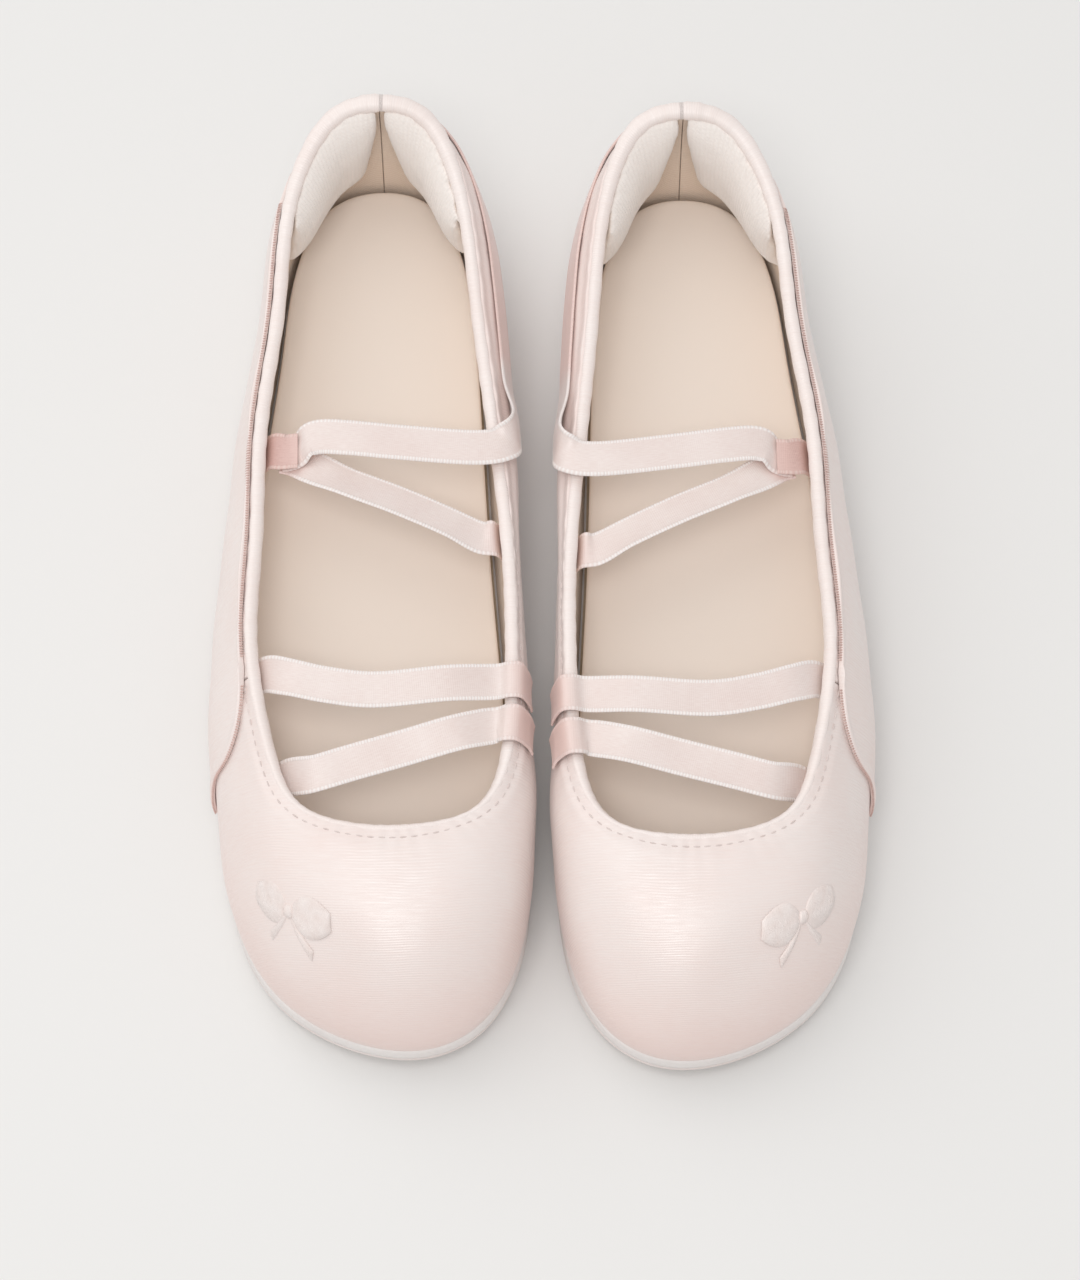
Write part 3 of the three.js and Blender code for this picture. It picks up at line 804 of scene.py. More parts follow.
@dataclass(frozen=True)
class Finish:
    """A finish: its name, its slot in the record, and its light and deep tones."""

    name: str
    slot: str
    light: Colour
    deep: Colour

    def dress(self, recipe: Recipe) -> None:
        """Lays out the finish on a recipe."""
        raise NotImplementedError

    def material(self) -> bpy.types.Material:
        """The finish's material, made at its first use.

        Returns:
            The material.
        """
        found = bpy.data.materials.get(self.name)
        if found is None:
            recipe = Recipe(self.name)
            self.dress(recipe)
            found = recipe.material
        return found


@dataclass(frozen=True)
class Satin(Finish):
    """Satin with fine cross ribs, uneven threads and a soft glow, and painted rosy shade low on the
    walls.
    """

    pitch: float = 0.85
    relief: float = 0.045
    roughness: float = 0.42
    # colour of the painted shade: the pink the satin takes in shade, low on the walls
    blush: Colour = (0.88, 0.63, 0.57)

    def dress(self, recipe: Recipe) -> None:
        """Ribs across the second weave coordinate, stretched slubs, and faint clouds of tone.

        Args:
            recipe: the recipe to lay the finish out on.
        """
        u, v, low = recipe.weave()
        wander = recipe.noise(recipe.vector(u, v), 0.05, 1.0)
        line = recipe.math("MULTIPLY_ADD", wander, 2.0, v)
        ribs = recipe.waves(line, self.pitch)
        slub = recipe.noise(recipe.stretched(u, v, 0.16, 1.6), 1.0, 3.0)
        cloud = recipe.noise(recipe.place(), 45.0, 3.0)
        tone = recipe.math("MULTIPLY_ADD", slub, 0.5, recipe.math("MULTIPLY", cloud, 0.7))
        share = recipe.span(tone, 0.35, 0.85, 0.0, 1.0)
        share = recipe.math("MULTIPLY_ADD", ribs, -0.16, share)
        # the third weave value mixes in the painted rosy shade
        recipe.set(Base_Color=recipe.mix(low, recipe.mix(share, self.light, self.deep), self.blush))
        recipe.set(Roughness=recipe.spread(slub, self.roughness - 0.06, self.roughness + 0.09))
        height = recipe.math("MULTIPLY_ADD", slub, 0.9, recipe.math("MULTIPLY", ribs, 0.55))
        recipe.set(Normal=recipe.bump(height, self.relief))
        recipe.set(Sheen_Weight=0.15, Sheen_Roughness=0.4, Specular_IOR_Level=0.9)


@dataclass(frozen=True)
class Elastic(Finish):
    """Satin-faced elastic: fine lengthwise threads, cross ribs and woven selvedges."""

    half_width: float = 5.0
    selvedge: float = 1.0
    edge: Colour = (0.92, 0.88, 0.86)
    # colour of the painted shade at the band's ends
    shade: Colour = (0.82, 0.60, 0.55)

    def dress(self, recipe: Recipe) -> None:
        """Satin middle, lighter dashed selvedges, and painted shade towards the sewn ends.

        Args:
            recipe: the recipe to lay the finish out on.
        """
        u, v, end = recipe.weave()
        away = recipe.math("ABSOLUTE", v)
        inner = self.half_width - self.selvedge
        rim = recipe.span(away, inner - 0.1, inner + 0.1, 0.0, 1.0)
        ribs = recipe.waves(u, 0.55)
        dashes = recipe.waves(u, 0.8)
        fine = recipe.noise(recipe.stretched(u, v, 0.5, 4.0), 1.0, 2.0)
        cloud = recipe.noise(recipe.place(), 60.0, 2.0)
        share = recipe.span(recipe.math("ADD", fine, cloud), 0.7, 1.3, 0.0, 1.0)
        middle = recipe.mix(share, self.light, self.deep)
        selvedge = recipe.mix(dashes, self.edge, self.light)
        face = recipe.mix(rim, middle, selvedge)
        # the third weave value mixes in the painted shade at the ends
        recipe.set(Base_Color=recipe.mix(recipe.math("MULTIPLY", end, 0.8), face, self.shade))
        recipe.set(Roughness=recipe.math("MULTIPLY_ADD", rim, 0.22, recipe.spread(fine, 0.3, 0.4)))
        plain = recipe.math("MULTIPLY_ADD", fine, 0.6, recipe.math("MULTIPLY", ribs, 0.4))
        knots = recipe.math("MULTIPLY", dashes, 1.4)
        height = recipe.math("ADD", plain, recipe.math("MULTIPLY", rim, knots))
        recipe.set(Normal=recipe.bump(height, 0.06))
        recipe.set(Sheen_Weight=0.25, Sheen_Roughness=0.35, Specular_IOR_Level=1.0)


@dataclass(frozen=True)
class Ribbed(Finish):
    """Matt textile with ribs and cross threads, for the footbed and the linings."""

    pitch: float = 0.95
    cross: float = 0.7
    relief: float = 0.12
    fuzz: float = 0.3

    def dress(self, recipe: Recipe) -> None:
        """Ribs across the second weave coordinate, broken by threads along the first.

        Args:
            recipe: the recipe to lay the finish out on.
        """
        u, v, painted_shade = recipe.weave()
        wander = recipe.noise(recipe.vector(u, v), 0.06, 1.0)
        ribs = recipe.waves(recipe.math("MULTIPLY_ADD", wander, 1.2, v), self.pitch)
        cross = recipe.waves(u, self.cross)
        grain = recipe.noise(recipe.vector(u, v), 1.3, 3.0)
        cloud = recipe.noise(recipe.place(), 30.0, 3.0)
        knots = recipe.math("MULTIPLY", recipe.math("MULTIPLY_ADD", cross, 0.4, 0.6), ribs)
        tone = recipe.math("MULTIPLY_ADD", grain, 0.55, recipe.math("MULTIPLY", cloud, 0.6))
        share = recipe.math("MULTIPLY_ADD", knots, -0.6, recipe.span(tone, 0.35, 0.8, 0.35, 0.75))
        # painted shade from the third weave value: darker at the footbed's heel, and low on the linings'
        # walls
        share = recipe.math("MULTIPLY_ADD", painted_shade, 0.75, share)
        recipe.set(Base_Color=recipe.mix(recipe.math("MINIMUM", share, 1.0), self.light, self.deep))
        recipe.set(Roughness=recipe.spread(grain, 0.82, 0.95))
        height = recipe.math("MULTIPLY_ADD", grain, 0.7, recipe.math("MULTIPLY", knots, 0.8))
        recipe.set(Normal=recipe.bump(height, self.relief))
        recipe.set(Sheen_Weight=self.fuzz, Sheen_Roughness=0.6, Specular_IOR_Level=0.25)


@dataclass(frozen=True)
class Knit(Finish):
    """Brushed knit: small slanting loops in columns, with a soft nap."""

    loop: float = 1.05

    def dress(self, recipe: Recipe) -> None:
        """Columns of loops, their height waving with a slant that turns over at each column.

        Args:
            recipe: the recipe to lay the finish out on.
        """
        u, v, _ = recipe.weave()
        columns = recipe.waves(u, self.loop)
        slant = recipe.math("MULTIPLY_ADD", recipe.math("PINGPONG", u, self.loop / 2), 0.9, v)
        rows = recipe.waves(slant, self.loop * 0.8)
        nap = recipe.noise(recipe.vector(u, v), 1.6, 4.0, 0.65)
        cloud = recipe.noise(recipe.place(), 60.0, 2.0)
        raised = recipe.math("POWER", columns, 0.6)
        loops = recipe.math("MULTIPLY", raised, recipe.math("MULTIPLY_ADD", rows, 0.6, 0.4))
        tone = recipe.math("MULTIPLY_ADD", nap, 0.7, recipe.math("MULTIPLY", cloud, 0.5))
        share = recipe.math("MULTIPLY_ADD", loops, -0.3, recipe.span(tone, 0.35, 0.85, 0.1, 0.9))
        recipe.set(Base_Color=recipe.mix(share, self.light, self.deep))
        recipe.set(Roughness=recipe.spread(nap, 0.85, 0.97))
        height = recipe.math("MULTIPLY_ADD", nap, 0.8, recipe.math("MULTIPLY", loops, 0.8))
        recipe.set(Normal=recipe.bump(height, 0.14))
        recipe.set(Sheen_Weight=0.5, Sheen_Roughness=0.6, Specular_IOR_Level=0.2)


@dataclass(frozen=True)
class Moulded(Finish):
    """Moulded rubber, foam or board: speckled grain and faint mottling on object coordinates."""

    grain: float = 900.0
    relief: float = 0.1
    roughness: float = 0.6

    def dress(self, recipe: Recipe) -> None:
        """Fine grain in tone, roughness and relief, over slow mottling.

        Args:
            recipe: the recipe to lay the finish out on.
        """
        spot = recipe.place()
        fine = recipe.noise(spot, self.grain, 4.0, 0.6)
        slow = recipe.noise(spot, 40.0, 3.0)
        share = recipe.span(recipe.math("ADD", fine, slow), 0.7, 1.3, 0.0, 1.0)
        recipe.set(Base_Color=recipe.mix(share, self.light, self.deep))
        recipe.set(Roughness=recipe.spread(slow, self.roughness - 0.08, self.roughness + 0.08))
        recipe.set(Normal=recipe.bump(fine, self.relief), Specular_IOR_Level=0.4)


@dataclass(frozen=True)
class Thread(Finish):
    """Twisted sewing or embroidery thread."""

    pitch: float = 0.3
    roughness: float = 0.5

    def dress(self, recipe: Recipe) -> None:
        """Fine twist across the thread, and a little change of tone from stitch to stitch.

        Args:
            recipe: the recipe to lay the finish out on.
        """
        u, v, _ = recipe.weave()
        twist = recipe.waves(recipe.math("ADD", u, v), self.pitch)
        tone = recipe.noise(recipe.vector(u, v), 0.31, 1.0)
        share = recipe.math("MULTIPLY_ADD", twist, -0.25, recipe.spread(tone, 0.15, 1.0))
        recipe.set(Base_Color=recipe.mix(share, self.light, self.deep))
        recipe.set(Roughness=recipe.spread(tone, self.roughness - 0.1, self.roughness + 0.1))
        recipe.set(Normal=recipe.bump(twist, 0.05), Sheen_Weight=0.2, Sheen_Roughness=0.4)


UPPER_SATIN = Satin("upper_satin", "satin", (0.87, 0.79, 0.76), (0.85, 0.72, 0.68), roughness=0.36)
EDGE_SATIN = Satin(
    "edge_satin", "satin", (0.92, 0.845, 0.815), (0.88, 0.765, 0.725),
    pitch=0.7, relief=0.07, roughness=0.4,
)
BAND = Elastic("band_elastic", "elastic", (0.85, 0.755, 0.72), (0.78, 0.655, 0.615))
# the tab's dark pink is partly a deeper pink elastic and partly painted shade, as it lies low under the
# straps
TAB = Elastic("tab_elastic", "elastic", (0.72, 0.49, 0.44), (0.60, 0.37, 0.33), edge=(0.76, 0.58, 0.53))
# the deep tone is the textile's darker threads and also the tone that the painted heel shade runs to
COVER = Ribbed(
    "footbed_textile", "footbed_textile", (0.98, 0.79, 0.60), (0.74, 0.44, 0.235),
    pitch=1.2, relief=0.5, fuzz=0.02,
)
LINING = Ribbed(
    "lining_textile", "lining", (0.90, 0.78, 0.67), (0.80, 0.65, 0.53),
    pitch=0.7, cross=0.7, relief=0.08, fuzz=0.1,
)
PAD_KNIT = Knit("collar_knit", "knit", (0.94, 0.89, 0.85), (0.88, 0.80, 0.75))
RIM = Moulded(
    "midsole_foam", "foam", (0.90, 0.86, 0.84), (0.84, 0.79, 0.77),
    grain=700.0, relief=0.06, roughness=0.55,
)
TREAD = Moulded(
    "outsole_rubber", "rubber", (0.86, 0.79, 0.76), (0.80, 0.72, 0.69),
    grain=900.0, relief=0.1, roughness=0.6,
)
FOAM = Moulded(
    "footbed_foam", "footbed_foam", (0.16, 0.125, 0.09), (0.075, 0.055, 0.04),
    grain=1500.0, relief=0.35, roughness=0.9,
)
BOARD = Moulded(
    "insole_board", "board", (0.6, 0.5, 0.38), (0.5, 0.4, 0.29),
    grain=1300.0, relief=0.12, roughness=0.9,
)
STIFFENER = Moulded(
    "stiffener_felt", "stiffener", (0.75, 0.7, 0.62), (0.62, 0.57, 0.5),
    grain=1600.0, relief=0.15, roughness=0.9,
)
SEWING = Thread("sewing_thread", "satin", (0.80, 0.72, 0.69), (0.62, 0.52, 0.49))
# the overcast thread's brownish pink is partly its own tone and partly painted shade of the crevice
# beside the binding
OVERCAST = Thread("overcast_thread", "satin", (0.72, 0.53, 0.48), (0.56, 0.37, 0.33))
EMBROIDERY = Thread(
    "embroidery_thread", "embroidery", (0.93, 0.85, 0.82), (0.86, 0.75, 0.71),
    pitch=0.42, roughness=0.32,
)


# ---- Making pieces -------------------------------------------------------------------------


@dataclass(frozen=True)
class Piece:
    """What a piece is called, what it stands for, what it rides on and how it is finished."""

    name: str
    body: str
    finish: Finish
    nodes: tuple[str, ...] = ()

    def make(self, solid: Solid, form: Form, crease: float = 50.0) -> bpy.types.Object:
        """Builds the piece from a solid and sets it in the frame.

        Args:
            solid: closed solid in the slipper's own axes.
            form: the slipper it belongs to.
            crease: angle in degrees past which an edge is shaded sharp.

        Returns:
            The object, at the origin, with its place in its mesh.
        """
        points = form.world(solid.points)
        placed = Solid(points, solid.faces, solid.weave)
        faces = solid.faces if placed.volume() > 0 else solid.faces[:, ::-1]
        corners = [list(dict.fromkeys(face)) for face in faces.tolist()]
        mesh = bpy.data.meshes.new(self.name)
        mesh.from_pydata(points.tolist(), [], corners)
        weave = mesh.attributes.new("weave", "FLOAT_VECTOR", "POINT")
        weave.data.foreach_set("vector", solid.weave.astype(np.float32).reshape(-1))
        mesh.polygons.foreach_set("use_smooth", np.ones(len(corners), bool))
        mesh.set_sharp_from_angle(angle=math.radians(crease))
        mesh.update()
        obj = bpy.data.objects.new(self.name, mesh)
        bpy.context.scene.collection.objects.link(obj)
        self.settle(obj)
        return obj

    def settle(self, obj: bpy.types.Object) -> None:
        """Dresses the object, hides the nodes it stands for and lets it ride on its body.

        Args:
            obj: the object.
        """
        obj.data.materials.clear()
        obj.data.materials.append(self.finish.material())
        if self.nodes:
            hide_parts(*self.nodes)
        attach(obj, self.body)
        LOG.info("%s: %d faces, rides on %s", self.name, len(obj.data.polygons), self.body)


def dress_node(name: str, finish: Finish) -> None:
    """Gives a kept node its finish.

    Args:
        name: the node's name.
        finish: its finish.
    """
    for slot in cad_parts[name].material_slots:
        slot.material = finish.material()
    LOG.info("%s: kept, finished in %s", name, finish.name)


# ---- The upper -----------------------------------------------------------------------------


@dataclass
class Upper:
    """Satin panels, linings, binding, overlay, seam tape and the sewing of one slipper."""

    form: Form
    edge: float = 0.45
    step: float = 1.3
    tuck_low: float = -0.015
    tuck_high: float = 0.8
    stitch_offset: float = 1.9
    stitch_pitch: float = 3.0
    stitch_length: float = 2.0
    stitch_radius: float = 0.22
    tape_width: float = 9.0
    overlay_start: float = 1.42
    overlay_toe: float = 6.86
    overlay_top: float = 6.15
    overlay_climb: float = 0.985
    overlay_curl: float = 0.9
    overlay_rest: float = 0.15
    inner_swell: float = 2.2
    inner_slim: float = 0.06
    # strengths of the painted rosy shade: low on all walls, and on the inner wall behind the ribbon
    blush: float = 0.5
    inner_blush: float = 0.15
    binding_lift: float = 0.7
    binding_pitch: float = 1.1
    binding_corners: int = 22
    panel_rise: float = 48.0
    panel_bias: float = 0.85
    lining_step: float = 2.6
    lining_meet: float = 0.004
    overlay_foot: float = 0.04
    overlay_length: float = 190.0
    overlay_rise: float = 40.0
    overlay_edge: float = 0.6
    tape_rise: float = 42.0
    tape_edge: float = 0.5
    tape_rest: float = 0.6
    overcast_pitch: float = 0.7
    overcast_radius: float = 0.24
    seam_climb: float = 0.6

    def build(self) -> None:
        """Builds and dresses every piece of the upper."""
        side = self.form.side
        seams = self.seam_places()
        spans = {"vamp": seams[0], "quarter_outer": seams[1], "quarter_inner": seams[2]}
        for name, (start, end) in spans.items():
            node = f"{side.prefix}_{name}"
            solid = self.panel(start, end, 0.0, LAYERS.satin, self.satin_relief)
            Piece(f"{node}_satin", side.slipper, UPPER_SATIN, (node,)).make(solid, self.form)
            inner = name.replace("quarter", "quarter_lining").replace("vamp", "vamp_lining")
            node = f"{side.prefix}_{inner}"
            depth = -LAYERS.lining_depth
            ends = self.lining_ends(start, end)
            solid = self.panel(*ends, depth, LAYERS.lining, None, self.lining_step)
            Piece(f"{node}_textile", side.slipper, LINING, (node,)).make(solid, self.form)
        for name, node, finish, solid in (
            ("binding_roll", "topline_binding", EDGE_SATIN, self.binding()),
            ("overlay_satin", "side_overlay", UPPER_SATIN, self.overlay()),
            ("heel_tape", "heel_seam_tape", EDGE_SATIN, self.seam_tape()),
        ):
            nodes = (f"{side.prefix}_{node}",)
            Piece(f"{side.prefix}_{name}", side.slipper, finish, nodes).make(solid, self.form)
        for name, finish, solid in (
            ("topline_stitches", SEWING, self.topline_stitches()),
            ("overcast_stitches", OVERCAST, self.overcast()),
            ("tape_stitches", SEWING, self.tape_stitches()),
        ):
            Piece(f"{side.prefix}_{name}", side.slipper, finish).make(solid, self.form)
        for name in ("toe_puff", "heel_counter"):
            dress_node(f"{side.prefix}_{name}", STIFFENER)

    def lining_ends(self, start: float, end: float) -> tuple[float, float]:
        """Places where a lining starts and ends: nearly meeting its partner at the centre back."""
        first = self.lining_meet if start < 0.1 else start
        return first, RIB_COUNT - self.lining_meet if end > RIB_COUNT - 0.1 else end

    def seam_places(self) -> tuple[tuple[float, float], ...]:
        """Where the toe, outer and inner panels start and end, half a seam gap apart.

        Returns:
            Start and end of the toe, outer and inner panels.
        """
        half = {s: self.form.ribs_for(LAYERS.gap / 2, s, 0.5) for s in (0.0, OUTER_SEAM, INNER_SEAM)}
        return (
            (OUTER_SEAM + half[OUTER_SEAM], INNER_SEAM - half[INNER_SEAM]),
            (2 * half[0.0], OUTER_SEAM - half[OUTER_SEAM]),
            (INNER_SEAM + half[INNER_SEAM], RIB_COUNT - 2 * half[0.0]),
        )

    def weave_of(self, place: Array, climb: Array, points: Array) -> Array:
        """Weave coordinates: the skin laid flat outwards, and how much painted rosy shade it takes.

        With d the drop below the opening, along the threads is x + d * outward x and across them is
        y + d * outward y, so the ribs run straight across the toe and on down the walls.

        Args:
            place: places round the slipper, counted in ribs.
            climb: climbs, 0 at the sole and 1 at the opening.
            points: points of the skin there.

        Returns:
            Weave coordinates, the free value being the strength of the painted rosy shade.
        """
        away = self.form.outward(place)
        drop = self.form.top(place)[..., 2:3] - points[..., 2:3]
        flat = points[..., :2] + drop * away[..., :2]
        # painted shade: rosier low on the walls and on the inner wall behind the ribbon
        low = self.blush * (1 - ease(climb, 0.0, 0.6)) + self.inner_blush * self.inner_wall(place)
        return np.concatenate([flat, np.broadcast_to(low, flat.shape[:-1])[..., None]], -1)

    def satin_relief(self, place: Array, climb: Array, points: Array) -> Array:
        """Relief of the satin: slow waves, small puckers under the binding, a stitched groove.

        Args:
            place: places round the slipper, counted in ribs.
            climb: climbs, 0 at the sole and 1 at the opening.
            points: points of the skin there.

        Returns:
            Heights in mm.
        """
        down = self.form.below_edge(place, climb)
        slow = 0.28 * ripple(points[..., 0] + points[..., 2], points[..., 1], 34.0, 5)
        pucker = 0.10 * np.sin(place * 21.0 + 2 * np.sin(place * 5.0)) * np.exp(-down / 5.0)
        groove = -0.22 * hill(down, self.stitch_offset, 0.8)
        swell = 0.2 * hill(down, 3.8, 1.2)
        swell = swell + self.inner_swell * self.inner_wall(place) * hill(climb, 0.78, 0.2)
        return slow * ease(down, 1.0, 12.0) * ease(climb, 0.0, 0.25) + pucker + groove + swell

    @staticmethod
    def inner_wall(place: Array) -> Array:
        """1 along the inner wall behind the ribbon, easing to 0 at the heel and at the waist."""
        return ease(place, 14.6, 16.0) * (1 - ease(place, 18.2, 19.2))

    def panel(
        self,
        start: float,
        end: float,
        outer: float,
        thickness: float,
        relief: Callable[[Array, Array, Array], Array] | None,
        step: float | None = None,
    ) -> Solid:
        """A panel between two places, from the sole to the opening.

        Args:
            start: first place.
            end: last place.
            outer: distance of its outer face from the skin, mm.
            thickness: thickness, mm.
            relief: extra height of the outer face, or None.
            step: spacing of its points, mm.

        Returns:
            A sheet with rounded edges: both faces stand off its middle by half the thickness
            times the fullness of both parameters.
        """
        step = step or self.step
        run = self.form.skin(np.linspace(start, end, 60), 0.3)
        length = float(np.linalg.norm(np.diff(run, axis=0), axis=1).sum())
        s = rounded_steps(length, self.edge, step)
        t = rounded_steps(self.panel_rise, self.edge, step)
        place = np.broadcast_to((start + (end - start) * s)[:, None], (len(s), len(t)))
        head = self.form.climb_below(place, -self.tuck_high)
        climb = self.tuck_low + (head - self.tuck_low) * t[None] ** self.panel_bias
        full = np.outer(fullness(s, length, self.edge), fullness(t, self.panel_rise, self.edge))
        points = self.form.skin(place, climb)
        out = self.form.frame(place, climb)[2]
        extra = relief(place, climb, points) * full if relief else 0.0
        middle = outer - thickness / 2
        front = points + out * (middle + full * thickness / 2 + extra)[..., None]
        back = points + out * (middle - full * thickness / 2)[..., None]
        return shell(front, back, self.weave_of(place, climb, points))

    def binding(self) -> Solid:
        """Rolled binding round the opening: an ellipse carried along the edge.

        Its radius waves a little with the pull of the seam, and its two ends overlap in a small
        step at the centre back.

        Returns:
            The closed roll.
        """
        place = self.form.even_places(0.0, RIB_COUNT, 1.0, self.binding_pitch)[:-1]
        _, rise, out = self.form.frame(place, np.ones_like(place))
        centre = self.form.layer(place, 1.0, -LAYERS.inside_depth / 2)
        centre = centre + rise * self.binding_lift
        turn = np.linspace(0, 2 * math.pi, self.binding_corners, endpoint=False)
        lap = ease(place, 0.0, 0.03) * (1 - ease(place, 0.28, 0.31))
        slim = 0.86 + 0.26 * (1 - ease(np.minimum(place, RIB_COUNT - place), 0.6, 2.4))
        slim = slim - self.inner_slim * ease(place, 13.0, 14.5) * (1 - ease(place, 18.0, 19.2))
        size = slim + 0.035 * np.sin(place * 23.0 + 2.5 * np.sin(place * 3.1)) + 0.10 * lap
        across = np.cos(turn)[None] * (LAYERS.binding_reach * 0.97 * size)[:, None]
        deep = np.sin(turn)[None] * (LAYERS.binding_height * 0.72 * size)[:, None]
        points = centre[:, None] + out[:, None] * across[..., None] + rise[:, None] * deep[..., None]
        run = np.arange(len(place)) * self.binding_pitch
        weave = np.zeros(points.shape)
        weave[..., 1] = run[:, None]
        weave[..., 0] = turn[None] * 2.0
        return tube(points, weave, True)

    def overlay_front(self, climb: Array) -> Array:
        """Front edge of the overlay: it hugs the opening and then drops to the sole."""
        fall = (self.overlay_toe - self.overlay_top) * climb**8
        return self.overlay_toe - fall + 0.03 * np.sin(climb * math.pi * 4)

    def overlay_back(self, climb: Array) -> Array:
        """Back edge of the overlay: it leaves the opening in a curve and slants down."""
        return self.overlay_start + 0.5 * (1 - ease(climb, 0.2, 0.9)) + self.overlay_curl * climb**12

    def overlay(self) -> Solid:
        """Applied side piece: a sheet between its back and front edges, with a folded rim.

        Returns:
            The closed sheet.
        """
        length, rise, edge = self.overlay_length, self.overlay_rise, self.overlay_edge
        t = rounded_steps(rise, edge, 1.2)
        climb = self.overlay_foot + (self.overlay_climb - self.overlay_foot) * (1 - (1 - t) ** 1.25)
        s = rounded_steps(length, edge, self.step)
        rear, front_edge = self.overlay_back(climb), self.overlay_front(climb)
        place = rear[None] + (front_edge - rear)[None] * s[:, None]
        climbs = np.broadcast_to(climb[None], place.shape)
        points = self.form.skin(place, climbs)
        out = self.form.frame(place, climbs)[2]
        full = np.outer(fullness(s, length, edge), fullness(t, rise, edge))
        fold = 0.45 * hill((1 - s)[:, None] * length, 1.6, 1.3)
        fold = fold + 0.35 * hill((1 - t)[None] * rise, 1.6, 1.2)
        slow = 0.30 * ripple(points[..., 1], points[..., 2], 30.0, 9)
        middle = self.overlay_rest + LAYERS.overlay / 2
        front = points + out * (middle + full * (LAYERS.overlay / 2 + fold + slow))[..., None]
        back = points + out * (middle - full * LAYERS.overlay / 2)[..., None]
        return shell(front, back, self.weave_of(place, climbs, points))

    def seam_tape(self) -> Solid:
        """Narrow tape over the centre-back seam, from the sole to the binding.

        Returns:
            The closed tape.
        """
        half = self.form.ribs_for(self.tape_width / 2, 0.0, self.seam_climb)
        s = rounded_steps(self.tape_width, self.tape_edge, 0.8)
        t = rounded_steps(self.tape_rise, self.tape_edge, 1.2)
        place, climb = np.meshgrid(half * (2 * s - 1), 0.05 + 0.92 * t, indexing="ij")
        points = self.form.skin(place, climb)
        out = self.form.frame(place, climb)[2]
        full = np.outer(
            fullness(s, self.tape_width, self.tape_edge), fullness(t, self.tape_rise, self.tape_edge)
        )
        front = points + out * (self.tape_rest + full * 0.32)[..., None]
        back = points + out * (self.tape_rest - full * 0.28)[..., None]
        return shell(front, back, self.weave_of(place, climb, points)[..., [1, 0, 2]])

    def topline_stitches(self) -> Solid:
        """Row of running stitches below the binding, left out where the overlay covers it.

        Returns:
            The threads.
        """
        place = self.form.even_places(0.35, RIB_COUNT - 0.35, 0.95, self.stitch_pitch)
        place = place[(place < self.overlay_start - 0.1) | (place > self.overlay_top + 0.2)]
        climb = self.form.climb_below(place, self.stitch_offset)
        around, _, out = self.form.frame(place, climb)
        centres = self.form.skin(place, climb) - out * 0.1
        return stitches(centres, around, out, self.stitch_length, self.stitch_radius)

    def overcast(self) -> Solid:
        """Overcast stitches along the overlay's top edge and down its front edge.

        Each thread lies across the edge, from the overlay down to what is beside it.

        Returns:
            The threads.
        """
        start = self.overlay_start + self.overlay_curl * 0.6
        pitch, radius = self.overcast_pitch, self.overcast_radius
        place = self.form.even_places(start, self.overlay_top - 0.02, 0.97, pitch)
        climb = np.full(place.shape, self.overlay_climb - 0.004)
        _, rise, out = self.form.frame(place, climb)
        lift = self.overlay_rest + LAYERS.overlay * 0.72
        top = stitches(self.form.layer(place, climb, lift), rise - 0.35 * out, out, 2.1, radius)
        fine = np.linspace(0.10, 0.945, 400)
        run = run_along(self.form.skin(self.overlay_front(fine), fine))
        climb = np.interp(np.arange(0, run[-1], pitch), run, fine)
        place = self.overlay_front(climb) - 0.006
        out = self.form.frame(place, climb)[2]
        tangent = unit(np.gradient(self.form.skin(place, climb), axis=0))
        across = np.cross(tangent, out)
        front = stitches(self.form.layer(place, climb, lift), across, out, 1.7, radius)
        return top + front

    def tape_stitches(self) -> Solid:
        """A row of stitches down each side of the heel tape.

        Returns:
            The threads.
        """
        rows = []
        off = self.form.ribs_for(self.tape_width / 2 - 1.1, 0.0, self.seam_climb)
        for sign in (-1, 1):
            climb = np.linspace(0.1, 0.93, 17)
            place = np.full(climb.shape, sign * off)
            _, rise, out = self.form.frame(place, climb)
            rows.append(stitches(self.form.layer(place, climb, 0.9), rise, out, 1.7, 0.17))
        return rows[0] + rows[1]


# ---- The collar cushions -------------------------------------------------------------------


